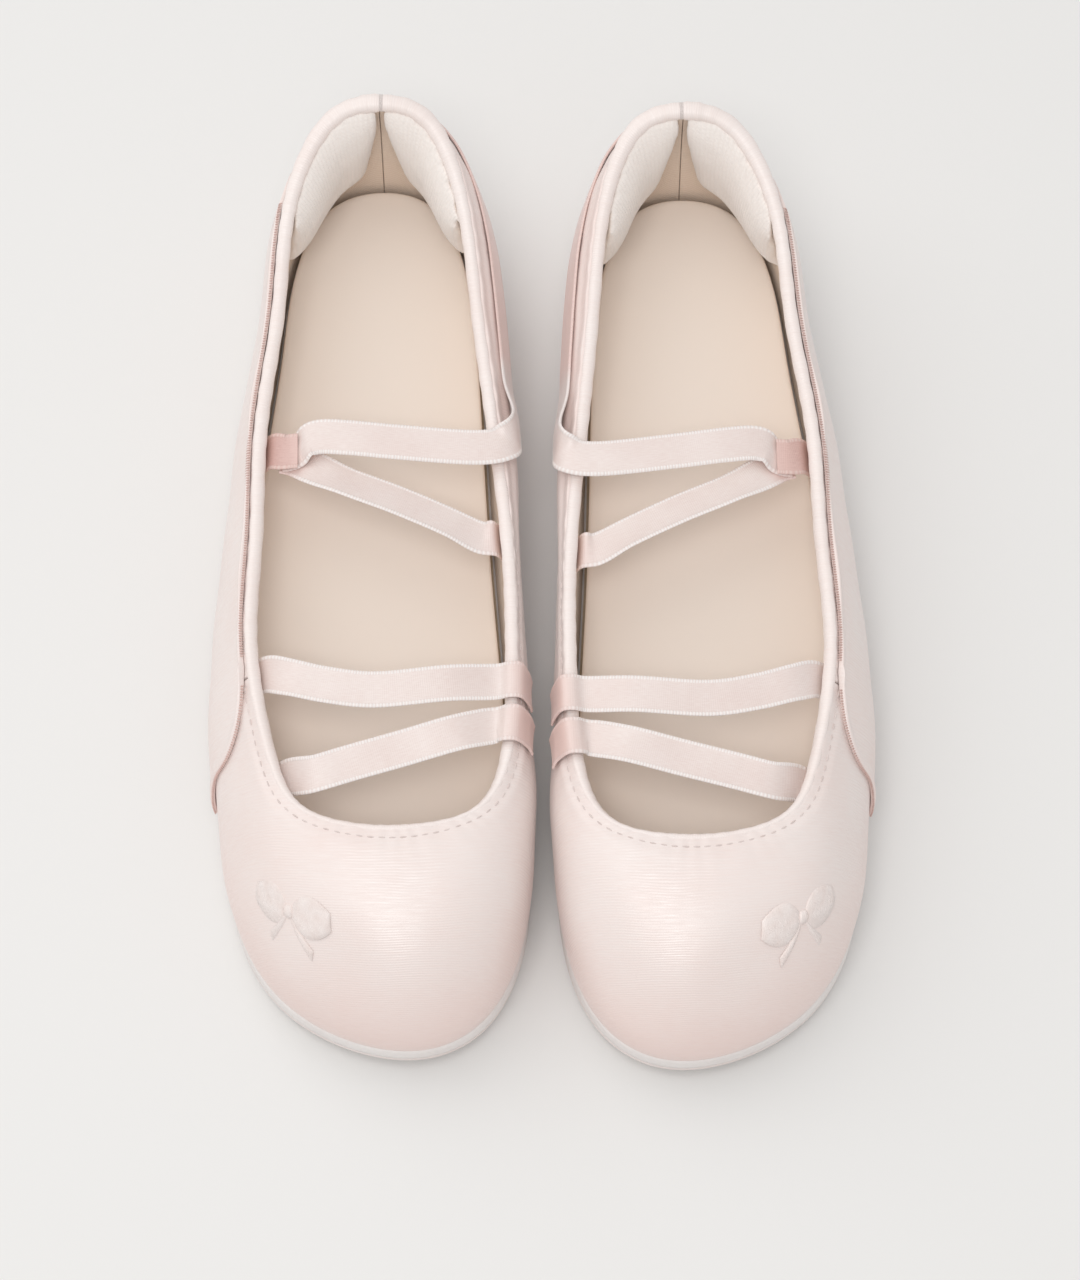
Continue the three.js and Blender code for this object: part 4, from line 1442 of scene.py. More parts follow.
@dataclass
class Collar:
    """The two knit cushions inside the heel of one slipper."""

    form: Form
    thickness: float = 7.6
    foot: float = 0.26
    head: float = 1.03
    front: float = 2.2
    draw_up: float = 0.22
    tuck: float = 1.6
    splay: dict[str, tuple[float, float]] = field(
        default_factory=lambda: {"outer": (0.0, 0.44), "inner": (0.03, 0.60)}
    )
    length: float = 62.0
    rise: float = 40.0
    thin: float = 1.0
    fill: float = 0.75
    turn_middle: float = 100.0
    turn_radius: float = 26.0
    voxel: float = 0.0015
    pressure: float = 4.0
    stiffness: float = 12.0
    mass: float = 0.15
    steps: int = 20
    held_reach: float = 0.0016
    cap: float = 0.0016

    def build(self) -> None:
        """Builds both cushions."""
        for name, sign in (("outer", 1), ("inner", -1)):
            node = f"{self.form.side.prefix}_collar_pad_{name}"
            piece = Piece(f"{node}_knit", self.form.side.slipper, PAD_KNIT, (node,))
            obj = piece.make(self.cushion(name, sign), self.form)
            self.swell(obj)
            self.mark_weave(obj)
            smooth = obj.modifiers.new("smooth", "SUBSURF")
            smooth.levels = smooth.render_levels = 1

    def cushion(self, name: str, sign: int) -> Solid:
        """A plump pad: a sheet whose inner face stands off by a swell.

        The swell is the root of 1 - (2s - 1)^4 times the root of 1 - (2t - 1)^4, so the pad is
        full almost to its edges; its front end is drawn up and its head lies under the binding.

        Args:
            name: outer or inner.
            sign: 1 for the outer side, -1 for the inner.

        Returns:
            The closed pad.
        """
        run, up = rounded_steps(self.length, 5.0, 2.4), rounded_steps(self.rise, 4.0, 2.2)
        s, t = np.meshgrid(run, up, indexing="ij")
        climb = self.foot + (self.head - self.foot) * t
        climb = climb + self.draw_up * ease(s, 0.5, 1.0) * (1 - t) ** 1.3
        at_head, more = self.splay[name]
        rear = at_head + more * np.maximum(0, 1 - climb) ** 1.3
        place = sign * (rear + (self.front - rear) * s)
        depth = LAYERS.inside_depth + LAYERS.gap
        along, upward = (np.sqrt(np.clip(1 - (2 * value - 1) ** 4, 0, 1)) for value in (s, t))
        swell = along * upward * (1 - 0.35 * ease(t, 0.55, 1.0))
        points = self.form.skin(place, climb)
        out = self.form.frame(place, climb)[2]
        tuck = self.tuck * ease(t, 0.86, 1.0)
        near = depth + self.thin * (1 - np.minimum(1, swell * 2)) - tuck
        far = depth + self.thin + (self.thickness - self.thin) * swell - tuck
        inner, outer = points - out * far[..., None], points - out * near[..., None]
        return shell(inner, outer, np.zeros(points.shape))

    def mark_weave(self, obj: bpy.types.Object) -> None:
        """Weave coordinates: the turn round the heel's middle as a length, and the height.

        Args:
            obj: the pad.
        """
        count = len(obj.data.vertices)
        points = np.empty(count * 3)
        obj.data.vertices.foreach_get("co", points)
        points = points.reshape(-1, 3) / MM - [self.form.across, self.form.along, 0]
        turn = np.arctan2(points[:, 0], points[:, 1] - self.turn_middle) * self.turn_radius
        attributes = obj.data.attributes
        weave = attributes.get("weave") or attributes.new("weave", "FLOAT_VECTOR", "POINT")
        values = np.stack([turn, points[:, 2], 0 * turn], -1).astype(np.float32)
        weave.data.foreach_set("vector", values.reshape(-1))

    def swell(self, obj: bpy.types.Object) -> None:
        """Lets the cushion swell as cloth under pressure, its back held, and keeps the result.

        Args:
            obj: the pad.
        """
        corners = [v.co.copy() for v in obj.data.vertices]
        held = kdtree.KDTree(len(corners))
        depth = self.depths(np.array([tuple(c) for c in corners]))
        for index in np.flatnonzero(depth < LAYERS.inside_depth + self.thin).tolist():
            held.insert(corners[index], index)
        held.balance()
        remesh = obj.modifiers.new("remesh", "REMESH")
        remesh.mode, remesh.voxel_size = "VOXEL", self.voxel
        self.apply(obj)
        group = obj.vertex_groups.new(name="back")
        for vertex in obj.data.vertices:
            at_back = held.find(vertex.co)[2] < self.held_reach
            group.add([vertex.index], float(at_back), "REPLACE")
        cloth = obj.modifiers.new("cloth", "CLOTH")
        cloth.settings.use_pressure = True
        cloth.settings.uniform_pressure_force = self.pressure
        cloth.settings.effector_weights.gravity = 0.0
        cloth.settings.quality = 5
        cloth.settings.vertex_group_mass = "back"
        cloth.settings.mass = self.mass
        cloth.settings.tension_stiffness = self.stiffness
        cloth.settings.compression_stiffness = self.stiffness
        cloth.point_cache.frame_start = 1
        cloth.point_cache.frame_end = self.steps
        before = np.array([tuple(v.co) for v in obj.data.vertices])
        for number in range(1, self.steps + 1):
            bpy.context.scene.frame_set(number)
        after = obj.evaluated_get(bpy.context.evaluated_depsgraph_get())
        moved = np.array([tuple(v.co) for v in after.data.vertices]) - before
        obj.modifiers.clear()
        length = np.linalg.norm(moved, axis=1, keepdims=True)
        moved *= np.minimum(1.0, self.cap / np.maximum(length, 1e-9))
        obj.data.vertices.foreach_set("co", (before + moved).reshape(-1))
        obj.vertex_groups.clear()
        obj.data.update()
        bpy.context.scene.frame_set(1)
        most = float(np.linalg.norm(moved, axis=1).max()) / MM
        LOG.info("%s: swelled by up to %.1f mm", obj.name, most)

    def depths(self, points: Array) -> Array:
        """Depth in mm of frame points under the skin, measured to the nearest sampled point.

        Args:
            points: points of the frame, metres.

        Returns:
            Depths, mm.
        """
        own = (points / MM - [self.form.across, self.form.along, 0]) * [self.form.side.value, 1, 1]
        place, climb = np.meshgrid(np.linspace(-2.6, 2.6, 90), np.linspace(0.15, 1.0, 30), indexing="ij")
        skin = self.form.skin(place, climb).reshape(-1, 3)
        distance = np.linalg.norm(own[:, None] - skin[None], axis=-1)
        return distance.min(1)

    @staticmethod
    def apply(obj: bpy.types.Object) -> None:
        """Makes the result of the object's modifiers its mesh.

        Args:
            obj: the object.
        """
        result = obj.evaluated_get(bpy.context.evaluated_depsgraph_get())
        mesh = bpy.data.meshes.new_from_object(result)
        old = obj.data
        material = old.materials[0]
        obj.modifiers.clear()
        obj.data = mesh
        mesh.materials.clear()
        mesh.materials.append(material)
        mesh.polygons.foreach_set("use_smooth", np.ones(len(mesh.polygons), bool))


# ---- The sole and the footbed --------------------------------------------------------------


@dataclass(frozen=True)
class Ring:
    """A ring round the sole.

    It lies `distance` mm out from the sole's edge and `lift` mm above a surface, which is a
    height as a function of y.
    """

    distance: float
    surface: Callable[[Array], Array]
    lift: float

    def height(self, along: Array) -> Array:
        """Height of the ring at places along the slipper."""
        return self.surface(along) + self.lift


@dataclass
class Base:
    """Outsole, midsole, insole board and removable footbed of one slipper."""

    form: Form
    count: int = 260
    rows: int = 25
    tread_inset: float = 3.2
    rim: float = 0.5
    # where the footbed's painted heel shade starts and where it is full, mm along
    heel_shade_from: float = 48.0
    heel_shade_to: float = 125.0

    def build(self) -> None:
        """Builds and dresses every piece of the base."""
        side = self.form.side
        for name, node, body, finish, rings in (
            ("outsole_rubber", "outsole", side.slipper, TREAD, self.outsole()),
            ("midsole_foam", "midsole", side.slipper, RIM, self.midsole()),
            ("footbed_foam_layer", "footbed_foam", side.footbed, FOAM, self.footbed_foam()),
            ("footbed_top", "footbed_cover", side.footbed, COVER, self.footbed_cover()),
        ):
            piece = Piece(f"{side.prefix}_{name}", body, finish, (f"{side.prefix}_{node}",))
            piece.make(self.slab(rings), self.form)
        dress_node(f"{side.prefix}_insole_board", BOARD)

    def outsole(self) -> list[Ring]:
        """Rings of the tread, rounded under from its flat up to its edge.

        Returns:
            The rings, from the bottom to the top.
        """
        rim, inset, thick, low = self.rim, self.tread_inset, LAYERS.outsole, Form.sole_bottom
        return [
            Ring(rim - inset, low, 0),
            Ring(rim - inset * 0.55, low, 0.35),
            Ring(rim - inset * 0.2, low, 1.2),
            Ring(rim - 0.05, low, 2.4),
            Ring(rim, low, thick - 0.3),
            Ring(rim - 0.35, low, thick),
        ]

    def midsole(self) -> list[Ring]:
        """Rings of the foam wedge, from the tread up to its pale rim.

        Returns:
            The rings, from the bottom to the top.
        """
        start, end = LAYERS.outsole + LAYERS.gap, -LAYERS.gap
        rim, low, top = self.rim, Form.sole_bottom, Form.sole_top
        return [
            Ring(rim - 0.4, low, start),
            Ring(rim, low, start + 0.4),
            Ring(rim - 0.1, low, start + 1.6),
            Ring(rim - 0.15, top, end - 1.2),
            Ring(rim - 0.25, top, end - 0.2),
            Ring(rim - 0.7, top, end + 0.25),
        ]

    def footbed_foam(self) -> list[Ring]:
        """Rings of the footbed's foam, resting on the board.

        Returns:
            The rings, from the bottom to the top.
        """
        inside, lift, top = self.inside(), LAYERS.board + LAYERS.gap, Form.sole_top
        return [
            Ring(inside - 0.5, top, lift),
            Ring(inside - 0.05, top, lift + 0.4),
            Ring(inside, top, lift + 1.8),
            Ring(inside - 0.1, top, lift + LAYERS.foam - 0.3),
            Ring(inside - 0.4, top, lift + LAYERS.foam),
        ]

    def footbed_cover(self) -> list[Ring]:
        """Rings of the footbed's textile, resting on the foam, its edge rolled over.

        Returns:
            The rings, from the bottom to the top.
        """
        inside, top = self.inside(), Form.sole_top
        lift = LAYERS.board + LAYERS.gap + LAYERS.foam + LAYERS.gap
        return [
            Ring(inside - 0.3, top, lift),
            Ring(inside, top, lift + 0.3),
            Ring(inside - 0.1, top, lift + 0.6),
            Ring(inside - 0.6, top, lift + 0.86),
            Ring(inside - 1.4, top, lift + LAYERS.cover),
        ]

    @staticmethod
    def inside() -> float:
        """Distance of the footbed's edge from the edge of the sole, inwards as a minus."""
        return -(LAYERS.inside_depth + LAYERS.play)

    def slab(self, rings: list[Ring]) -> Solid:
        """A slab through rings round the sole, closed by rows across at its bottom and top.

        Args:
            rings: the rings, from the bottom to the top.

        Returns:
            The closed slab, its weave coordinate being (x, y, painted shade), the painted shade growing
            towards the heel.
        """
        place = np.linspace(0, RIB_COUNT, self.count, endpoint=False)
        walls = []
        for ring in rings:
            wall = self.form.sole_edge(place, ring.distance)
            wall[:, 2] = ring.height(wall[:, 1])
            walls.append(wall)
        index = np.arange(len(rings) * self.count).reshape(len(rings), self.count)
        index = np.concatenate([index, index[:, :1]], 1)
        solid = Solid(np.concatenate(walls), quads(index), np.zeros((index[:, 1:].size, 3)))
        solid = solid + self.cap(walls[0], rings[0], False) + self.cap(walls[-1], rings[-1], True)
        # painted shade at the heel, where the heel cup shades the footbed
        painted_shade = ease(solid.points[:, 1], self.heel_shade_from, self.heel_shade_to)
        solid.weave = np.concatenate([solid.points[:, :2], painted_shade[:, None]], -1)
        return solid.welded()

    def cap(self, wall: Array, ring: Ring, upper: bool) -> Solid:
        """Rows across a ring: each joins a point of one side to its partner on the other.

        Args:
            wall: points of the ring.
            ring: the ring, for its height.
            upper: True if the rows face up.

        Returns:
            The rows, open round their border.
        """
        half = len(wall) // 2
        s = np.linspace(0, 1, self.rows)[None, :, None]
        left = wall[: half + 1][:, None]
        right = np.concatenate([wall[:1], wall[: half - 1 : -1]])[:, None]
        grid = left * (1 - s) + right * s
        inner = ring.height(grid[..., 1])
        grid[:, 1:-1, 2] = inner[:, 1:-1]
        index = np.arange(grid.shape[0] * grid.shape[1]).reshape(grid.shape[:2])
        faces = quads(index)
        faces = faces if upper else faces[:, ::-1]
        return Solid(grid.reshape(-1, 3), faces, np.zeros((index.size, 3)))


# ---- The elastic bands ---------------------------------------------------------------------


def through(points: Array, count: int) -> Array:
    """Smooth curve through points: centripetal Catmull-Rom, evenly divided between the points.

    Args:
        points: points to pass through (n, 3).
        count: number of steps.

    Returns:
        Points of the curve (count + 1, 3).
    """
    ends = [2 * points[:1] - points[1:2], points, 2 * points[-1:] - points[-2:-1]]
    p = np.concatenate(ends)
    at = np.linspace(0, len(points) - 1, count + 1)
    i = np.minimum(at.astype(int), len(points) - 2)
    f = (at - i)[:, None]
    x0, x1, x2, x3 = p[i], p[i + 1], p[i + 2], p[i + 3]
    d0, d1, d2 = (
        np.maximum(np.linalg.norm(b - a, axis=1, keepdims=True) ** 0.5, 1e-4)
        for a, b in ((x0, x1), (x1, x2), (x2, x3))
    )
    t1 = ((x1 - x0) / d0 - (x2 - x0) / (d0 + d1) + (x2 - x1) / d1) * d1
    t2 = ((x2 - x1) / d1 - (x3 - x1) / (d1 + d2) + (x3 - x2) / d2) * d1
    return x1 + t1 * f + (3 * (x2 - x1) - 2 * t1 - t2) * f**2 + (2 * (x1 - x2) + t1 + t2) * f**3


Station = tuple[Array, Array]


@dataclass
class Bands:
    """The crossed elastic bands of one slipper and the tab that holds the rear pair."""

    form: Form
    front_rib: float = 13.6
    spacing: float = 1.9
    wall_run: tuple[tuple[float, float, float], ...] = (
        (19.70, 0.76, 0.2),
        (19.3, 0.76, 0.3),
        (18.8, 0.75, 0.7),
        (18.3, 0.74, 1.4),
        (17.8, 0.73, 1.8),
        (17.3, 0.73, 1.9),
        (16.8, 0.75, 1.9),
        (16.4, 0.79, 1.8),
    )
    steps: int = 13
    across_steps: int = 29
    bead: float = 0.13
    cup: float = 0.25
    fade: float = 4.0

    def build(self) -> None:
        """Builds all bands."""
        prefix, body = self.form.side.prefix, self.form.side.slipper
        # the pairs of numbers are the lengths of painted shade at each end of a band
        for name, stations, ends, finish in (
            ("rear_cross", self.rear_cross(), (82.0, 3.0), BAND),
            ("rear_diagonal", self.rear_diagonal(), (6.0, 9.0), BAND),
            ("anchor_tab", self.anchor_tab(), (3.0, 1.0), TAB),
            ("front_cross", self.front_cross(), (8.0, 12.0), BAND),
            ("front_diagonal", self.front_diagonal(), (8.0, 12.0), BAND),
        ):
            piece = Piece(f"{prefix}_{name}_elastic", body, finish, (f"{prefix}_band_{name}",))
            piece.make(self.ribbon(stations, ends), self.form)

    def inside(self, place: float, climb: float, extra: float = 0.0) -> Station:
        """Station on the inside of the upper.

        Args:
            place: place round the slipper.
            climb: climb there.
            extra: distance beyond where a band rests, mm.

        Returns:
            The station.
        """
        width = self.form.frame(place, climb)[0]
        depth = LAYERS.inside_depth + LAYERS.band_clear + extra
        return self.form.layer(place, climb, -depth), width * math.copysign(1, width[1])

    def against(self, place: float, climb: float, extra: float) -> Station:
        """Station on edge against the outside of the upper, its width up the rib."""
        point = self.form.layer(place, climb, LAYERS.band_clear + extra)
        return point, self.form.frame(place, climb)[1]

    def outside(self, place: float, climb: float, extra: float = 0.0) -> Station:
        """Station on the outside of the upper.

        Args:
            place: place round the slipper.
            climb: climb there.
            extra: distance beyond where a band rests, mm.

        Returns:
            The station.
        """
        width = self.form.frame(place, climb)[0]
        point = self.form.layer(place, climb, LAYERS.band_clear + extra)
        return point, width * math.copysign(1, width[1])

    def over_edge(self, place: float, degrees: float, extra: float = 0.0) -> Station:
        """Station round the binding: 0 outside it, 90 over the top, 180 inside the opening.

        Args:
            place: place round the slipper.
            degrees: turn round the binding.
            extra: distance beyond where a band rests, mm.

        Returns:
            The station.
        """
        around, rise, out = self.form.frame(place, 1.0)
        angle = math.radians(degrees)
        centre = self.form.layer(place, 1.0, -LAYERS.inside_depth / 2)
        centre = centre + rise * (LAYERS.gap + LAYERS.binding_height / 2)
        reach = LAYERS.band_clear + extra
        centre = centre + out * math.cos(angle) * (LAYERS.binding_reach + reach)
        centre = centre + rise * math.sin(angle) * (LAYERS.binding_height / 2 + reach)
        return centre, around * math.copysign(1, around[1])

    def rear_cross(self) -> list[Station]:
        """Flat on the inner wall from the heel, folded over the edge and across to the tab.

        Returns:
            The stations, from the heel.
        """
        above = self.form.above
        wall = [self.against(place, climb, extra) for place, climb, extra in self.wall_run]
        return wall + [
            (above(36.1, 54.5, 0.6), np.array([-0.15, 0.1, 1.0])),
            (above(36.2, 50.8, 2.2), np.array([-0.2, 0.5, 0.87])),
            (above(35.2, 47.2, 4.2), np.array([-0.2, 0.88, 0.4])),
            (above(32.2, 44.6, 5.3), ALONG),
            (above(27, 43.6, 5.7), ALONG),
            (above(4.6, 45.6, 5.6), ALONG),
            (above(-8, 47.2, 5.3), ALONG),
            (above(-15.6, 47.9, 4.5), ALONG),
            (above(-18.6, 47.2, 3.7), ALONG),
            (above(-21.0, 45.4, 2.0), ALONG),
            (above(-23.4, 44.6, 1.3), ALONG),
            (above(-25.6, 44.4, 1.1), ALONG),
        ]

    def anchor_tab(self) -> list[Station]:
        """Short tab from inside the outer edge, lapped over the ends of the rear bands.

        Returns:
            The stations, from inside the edge.
        """
        above = self.form.above
        return [
            self.inside(4.23, 0.72),
            self.inside(4.23, 0.85, 0.2),
            self.over_edge(4.23, 190, 0.5),
            (above(-24.8, 44.6, 2.3), ALONG),
            (above(-22.6, 44.6, 2.7), ALONG),
            (above(-21.2, 44.6, 2.9), ALONG),
        ]

    def rear_diagonal(self) -> list[Station]:
        """From the tab forward across to the inside of the inner edge.

        Returns:
            The stations, from the tab.
        """
        above = self.form.above
        slant = np.array([0.36, 0.86, -0.34])
        return [
            (above(-24.6, 44.2, 0.0), np.array([0.1, 0.99, -0.04])),
            (above(-21.5, 43.1, 0.5), np.array([0.25, 0.96, -0.04])),
            (above(-16.5, 39.7, 2.2), np.array([0.36, 0.92, -0.1])),
            (above(-8, 35.2, 3.3), slant),
            (above(4.7, 30.0, 3), slant),
            (above(18, 24.2, 1.6), slant),
            (above(26.6, 20.4, -0.4), np.array([0.2, 0.96, -0.15])),
            self.over_edge(15.02, 192, 0.6),
            self.inside(15.02, 0.84),
            self.inside(15.02, 0.68),
        ]

    def front_cross(self) -> list[Station]:
        """From inside the outer edge, sagging across, and down over the inner edge.

        Returns:
            The stations, from the outer side.
        """
        above = self.form.above
        return [
            self.inside(6.29, 0.66),
            self.inside(6.29, 0.84, 0.2),
            self.over_edge(6.3, 180, 0.4),
            (above(-23.8, -18.3, 1.3), np.array([-0.08, 1, 0])),
            (above(-14, -21.0, 2.3), np.array([-0.06, 1, 0])),
            (above(-2.2, -22.8, 2.8), ALONG),
            (above(18.2, -21.6, 3.6), ALONG),
            self.over_edge(self.front_rib, 135, 0.4),
            self.over_edge(self.front_rib, 75, 0.2),
            self.over_edge(self.front_rib, 20, 0.0),
            self.outside(self.front_rib, 0.86, 0.1),
            self.outside(self.front_rib, 0.74, 0.0),
        ]

    def front_diagonal(self) -> list[Station]:
        """From inside the outer edge of the throat, slantwise over the inner edge.

        Returns:
            The stations, from the outer side.
        """
        above = self.form.above
        slant = np.array([-0.26, 0.97, 0])
        apart = LAYERS.band_width + self.spacing
        rib = self.front_rib - self.form.ribs_for(apart, self.front_rib - 0.2, 1.0)
        return [
            self.inside(7.5, 0.7, 0.7),
            self.inside(7.48, 0.86, 0.8),
            self.over_edge(7.46, 180, 0.9),
            (above(-17, -45, 1.4), slant),
            (above(-8, -42.6, 2), slant),
            (above(5.6, -38.9, 2.4), slant),
            (above(20, -35, 3.2), slant),
            self.over_edge(rib, 135, 0.5),
            self.over_edge(rib, 75, 0.3),
            self.over_edge(rib, 20, 0.1),
            self.outside(rib, 0.86, 0.1),
            self.outside(rib, 0.74, 0.0),
        ]

    def ribbon(self, stations: list[Station], ends: tuple[float, float]) -> Solid:
        """A flat band through stations of a middle point and the direction of its width.

        The section is a flat oval with a thin raised bead along each selvedge, and the band
        cups by 0.25 mm across its width.

        Args:
            stations: middle points and width directions.
            ends: lengths of painted shade at the first and the last end, mm.

        Returns:
            The closed band.
        """
        count = self.steps * (len(stations) - 1)
        middle = through(np.array([s[0] for s in stations]), count)
        width = through(unit(np.array([s[1] for s in stations], float)), count)
        tangent = unit(np.gradient(middle, axis=0))
        width = unit(width - tangent * (width * tangent).sum(1, keepdims=True))
        normal = np.cross(tangent, width)
        half, thick = LAYERS.band_width / 2, LAYERS.band_thickness / 2
        v = half * np.sin(np.linspace(-1, 1, self.across_steps) * math.pi / 2)
        bead = self.bead * np.exp(-(((np.abs(v) - half + 0.55) / 0.3) ** 2))
        body = (thick - 0.14) * np.clip(1 - (np.abs(v) / half) ** 14, 0, 1) ** 0.5 + bead
        cup = self.cup * (v / half) ** 2 - 0.1
        across = np.concatenate([v, v[-2:0:-1]])
        high = np.concatenate([cup + body, (cup - body)[-2:0:-1]])
        across, high = across[None, :, None], high[None, :, None]
        points = middle[:, None] + width[:, None] * across + normal[:, None] * high
        run = run_along(middle)
        weave = np.zeros(points.shape)
        weave[..., 0] = run[:, None]
        weave[..., 1] = across[..., 0]
        # painted shade, easing in over fade mm at both ends
        first, last = ends[0], run[-1] - ends[1]
        at_start = 1 - ease(run, first - self.fade, first + self.fade)
        at_end = ease(run, last - self.fade, last + self.fade)
        weave[..., 2] = np.maximum(at_start, at_end)[:, None]
        return tube(points, weave, False)


# ---- The raised bow ------------------------------------------------------------------------


@dataclass
class Bow:
    """Small bow in raised satin stitch on the outer side of the toe."""

    form: Form
    place: float = 8.8
    climb: float = 0.6
    turn: float = 10.0
    length: float = 25.0
    height: float = 10.0
    relief: float = 1.0
    rest: float = 0.12
    ridge: float = 0.05
    ridge_pitch: float = 0.45

    def build(self) -> None:
        """Builds the two loops, two tails and the knot as one piece."""
        prefix, body = self.form.side.prefix, self.form.side.slipper
        solid = self.loop(1) + self.loop(-1) + self.tail(1) + self.tail(-1) + self.knot()
        piece = Piece(f"{prefix}_motif_threads", body, EMBROIDERY, (f"{prefix}_toe_motif",))
        piece.make(solid, self.form)

    def lay(self, along: Array, across: Array, lift: Array) -> Array:
        """Points `along` and `across` the bow's middle (mm), `lift` mm off the skin.

        Args:
            along: distances along the bow, mm.
            across: distances across it, mm.
            lift: heights off the skin, mm.

        Returns:
            Points in the slipper's own axes, mm.
        """
        turn = math.radians(self.turn)
        per_rib = 1 / self.form.ribs_for(1.0, self.place, self.climb)
        skin, place, climb = self.form.skin, self.place, self.climb
        step = skin(place, climb + 0.05) - skin(place, climb - 0.05)
        per_climb = float(np.linalg.norm(step)) * 10
        place = self.place + (along * math.cos(turn) - across * math.sin(turn)) / per_rib
        climb = self.climb + (along * math.sin(turn) + across * math.cos(turn)) / per_climb
        return self.form.layer(place, climb, lift)

    def patch(self, along: Array, across: Array, s: Array, t: Array, high: float) -> Solid:
        """A raised patch of threads: a cushion with even ridges across it.

        Args:
            along: distances along the bow, mm.
            across: distances across it, mm.
            s: 0 to 1 from end to end of the patch.
            t: -1 to 1 from edge to edge.
            high: height of its middle, mm.

        Returns:
            The closed patch.
        """
        full = np.sqrt(np.clip(1 - t**2, 0, 1)) * np.sqrt(np.clip(1 - (2 * s - 1) ** 6, 0, 1))
        ridge = self.ridge * np.cos(2 * math.pi * np.hypot(along, 0.6 * across) / self.ridge_pitch)
        front = self.lay(along, across, self.rest + full * (high + ridge * (full > 0.2)))
        back = self.lay(along, across, self.rest - 0.05 * full)
        weave = np.stack([across, along, 0 * along], -1)
        return shell(front, back, weave)

    def loop(self, sign: int) -> Solid:
        """One loop: a rounded leaf that starts at the knot and swells to its full height.

        Args:
            sign: 1 or -1, the side of the bow.

        Returns:
            The closed loop.
        """
        s, t = np.meshgrid(np.linspace(0, 1, 70), np.linspace(-1, 1, 17), indexing="ij")
        half = 0.7 + (self.height / 2 - 0.7) * np.sin(math.pi * s**0.75 * 0.92) ** 0.8
        along = sign * (0.8 + (self.length / 2 - 0.8) * s)
        return self.patch(along, t * half + 0.5 * s * sign, s, t, self.relief)

    def tail(self, sign: int) -> Solid:
        """One tail: a narrow ribbon curving down and out from the knot.

        Args:
            sign: 1 or -1, the side of the bow.

        Returns:
            The closed tail.
        """
        s, t = np.meshgrid(np.linspace(0, 1, 40), np.linspace(-1, 1, 11), indexing="ij")
        half = 0.8 + 0.7 * s
        along = sign * (0.8 + 5.6 * s**1.2) + 0.25 * t * half
        return self.patch(along, -0.8 - 8.0 * s + 0.9 * t * half * sign, s, t, 0.7)

    def knot(self) -> Solid:
        """The knot: a small round cushion over the middle.

        Returns:
            The closed knot.
        """
        s, t = np.meshgrid(np.linspace(0, 1, 16), np.linspace(-1, 1, 15), indexing="ij")
        half = 1.7 * np.sqrt(np.clip(1 - (2 * s - 1) ** 4, 0.05, 1))
        return self.patch(1.5 * (2 * s - 1), t * half, s, t, 1.35)


# ---- The studio ----------------------------------------------------------------------------


@dataclass(frozen=True)
class Lamp:
    """A soft square light: where it hangs and how wide it is (m), its watts and its colour."""

    name: str
    place: tuple[float, float, float]
    size: float
    watts: float
    colour: Colour

    def hang(self, target: Vector) -> None:
        """Makes the light and aims it.

        Args:
            target: the place it is aimed at.
        """
        light = bpy.data.lights.new(self.name, "AREA")
        light.shape = "SQUARE"
        light.size = self.size
        light.energy = self.watts
        light.color = self.colour
        lamp = bpy.data.objects.new(self.name, light)
        lamp.location = self.place
        lamp.rotation_euler = (target - Vector(self.place)).to_track_quat("-Z", "Y").to_euler()
        bpy.context.scene.collection.objects.link(lamp)


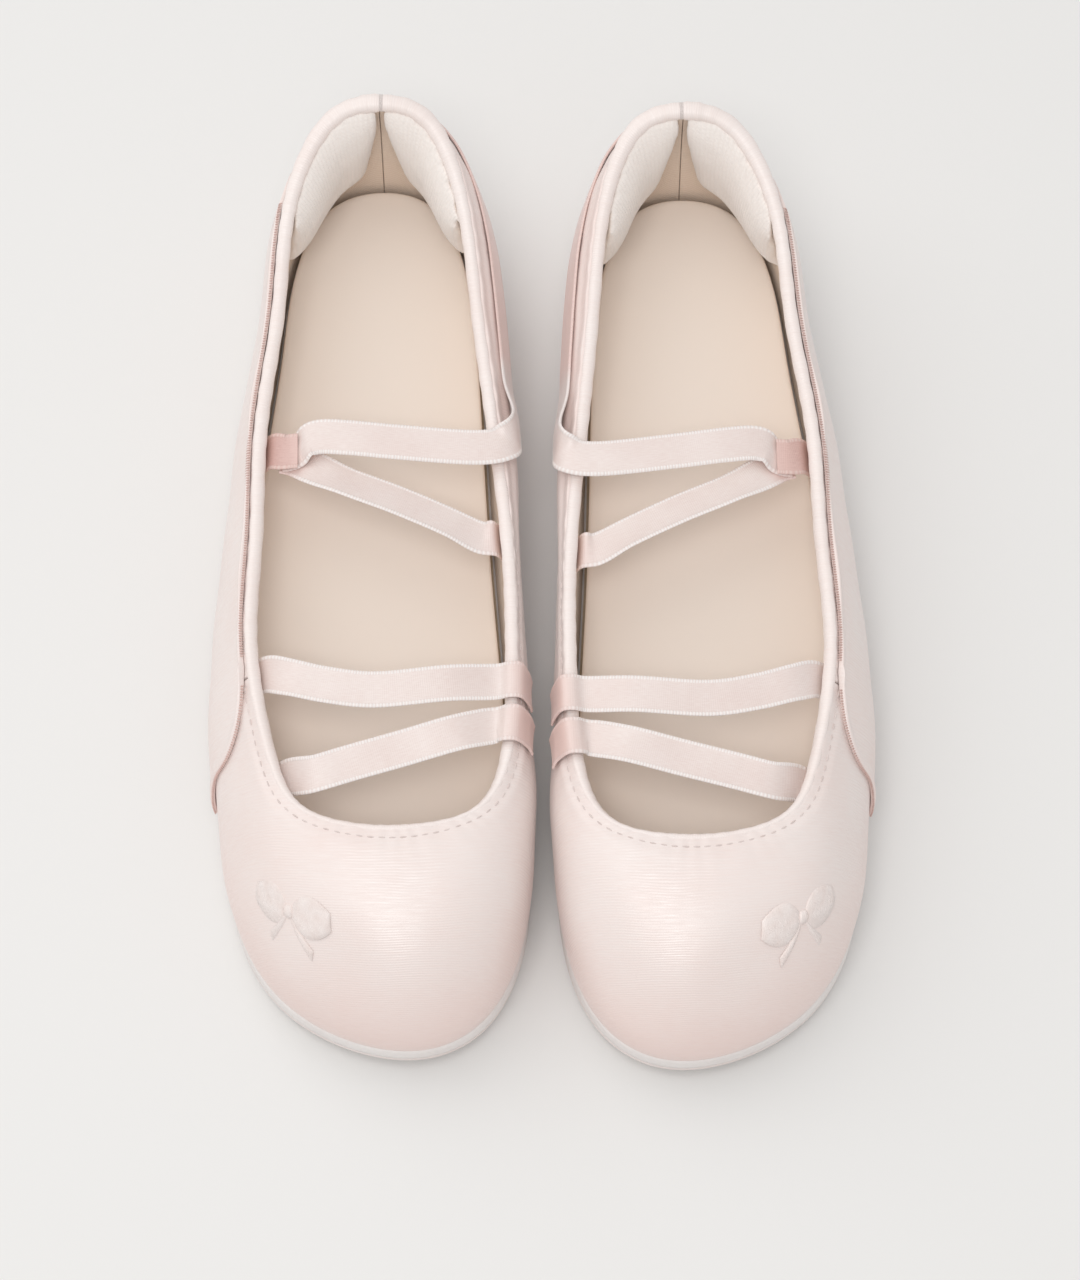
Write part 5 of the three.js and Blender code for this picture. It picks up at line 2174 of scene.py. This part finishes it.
@dataclass
class Studio:
    """Pale floor, soft light and the camera."""

    azimuth: float = -1.0
    elevation: float = 68.0
    distance: float = 1.1
    target: tuple[float, float, float] = (0.0, -0.013, 0.020)
    focal: float = 139.3
    sensor: float = 36.0
    floor: Colour = (0.83, 0.83, 0.82)
    floor_reach: float = 6.0
    world: Colour = (1.0, 0.99, 0.985)
    world_strength: float = 0.63
    aim: tuple[float, float, float] = (0.0, 0.0, 0.02)
    lamps: tuple[Lamp, ...] = (
        Lamp("key", (-0.9, 0.7, 1.4), 1.9, 9.0, (1.0, 0.985, 0.97)),
        Lamp("front", (-0.15, -0.42, 1.4), 0.6, 5.6, (1.0, 0.98, 0.97)),
    )

    def build(self) -> None:
        """Sets up the floor, the lights, the world and the camera."""
        self.make_floor()
        self.make_world()
        for lamp in self.lamps:
            lamp.hang(Vector(self.aim))
        self.make_camera()
        view = bpy.context.scene.view_settings
        view.view_transform = "Standard"
        view.look = "None"

    def make_floor(self) -> None:
        """A wide pale sheet on the ground, faintly mottled."""
        mesh = bpy.data.meshes.new("floor")
        r = self.floor_reach
        mesh.from_pydata([(-r, -r, 0), (r, -r, 0), (r, r, 0), (-r, r, 0)], [], [(0, 1, 2, 3)])
        floor = bpy.data.objects.new("floor", mesh)
        bpy.context.scene.collection.objects.link(floor)
        recipe = Recipe("floor_paper")
        cloud = recipe.noise(recipe.place(), 3.0, 3.0)
        deep = tuple(c * 0.985 for c in self.floor)
        recipe.set(Base_Color=recipe.mix(cloud, self.floor, deep), Roughness=0.9, Specular_IOR_Level=0.1)
        mesh.materials.append(recipe.material)

    def make_world(self) -> None:
        """Even pale surroundings."""
        world = bpy.data.worlds.new("studio")
        world.use_nodes = True
        background = world.node_tree.nodes["Background"]
        background.inputs["Color"].default_value = (*self.world, 1.0)
        background.inputs["Strength"].default_value = self.world_strength
        bpy.context.scene.world = world

    def make_camera(self) -> None:
        """The camera: high above the toes, a long lens, nearly square to the pair."""
        turn, tilt = math.radians(self.azimuth), math.radians(self.elevation)
        level = math.cos(tilt)
        back = Vector((math.sin(turn) * level, -math.cos(turn) * level, math.sin(tilt)))
        camera = bpy.data.cameras.new("camera")
        camera.sensor_fit = "HORIZONTAL"
        camera.sensor_width = self.sensor
        camera.lens = self.focal
        camera.clip_start = 0.05
        camera.clip_end = 30.0
        obj = bpy.data.objects.new("camera", camera)
        obj.location = Vector(self.target) + back * self.distance
        obj.rotation_euler = (-back).to_track_quat("-Z", "Y").to_euler()
        bpy.context.scene.collection.objects.link(obj)
        bpy.context.scene.camera = obj


def main() -> None:
    """Builds both slippers and the studio; the pieces log their face counts as they are made."""
    logging.basicConfig(level=logging.INFO, format="%(name)s: %(message)s", stream=sys.stdout)
    Studio().build()
    for side in Side:
        form = Form.placed(side)
        Base(form).build()
        Upper(form).build()
        Collar(form).build()
        Bands(form).build()
        Bow(form).build()


if __name__ == "__main__":
    main()
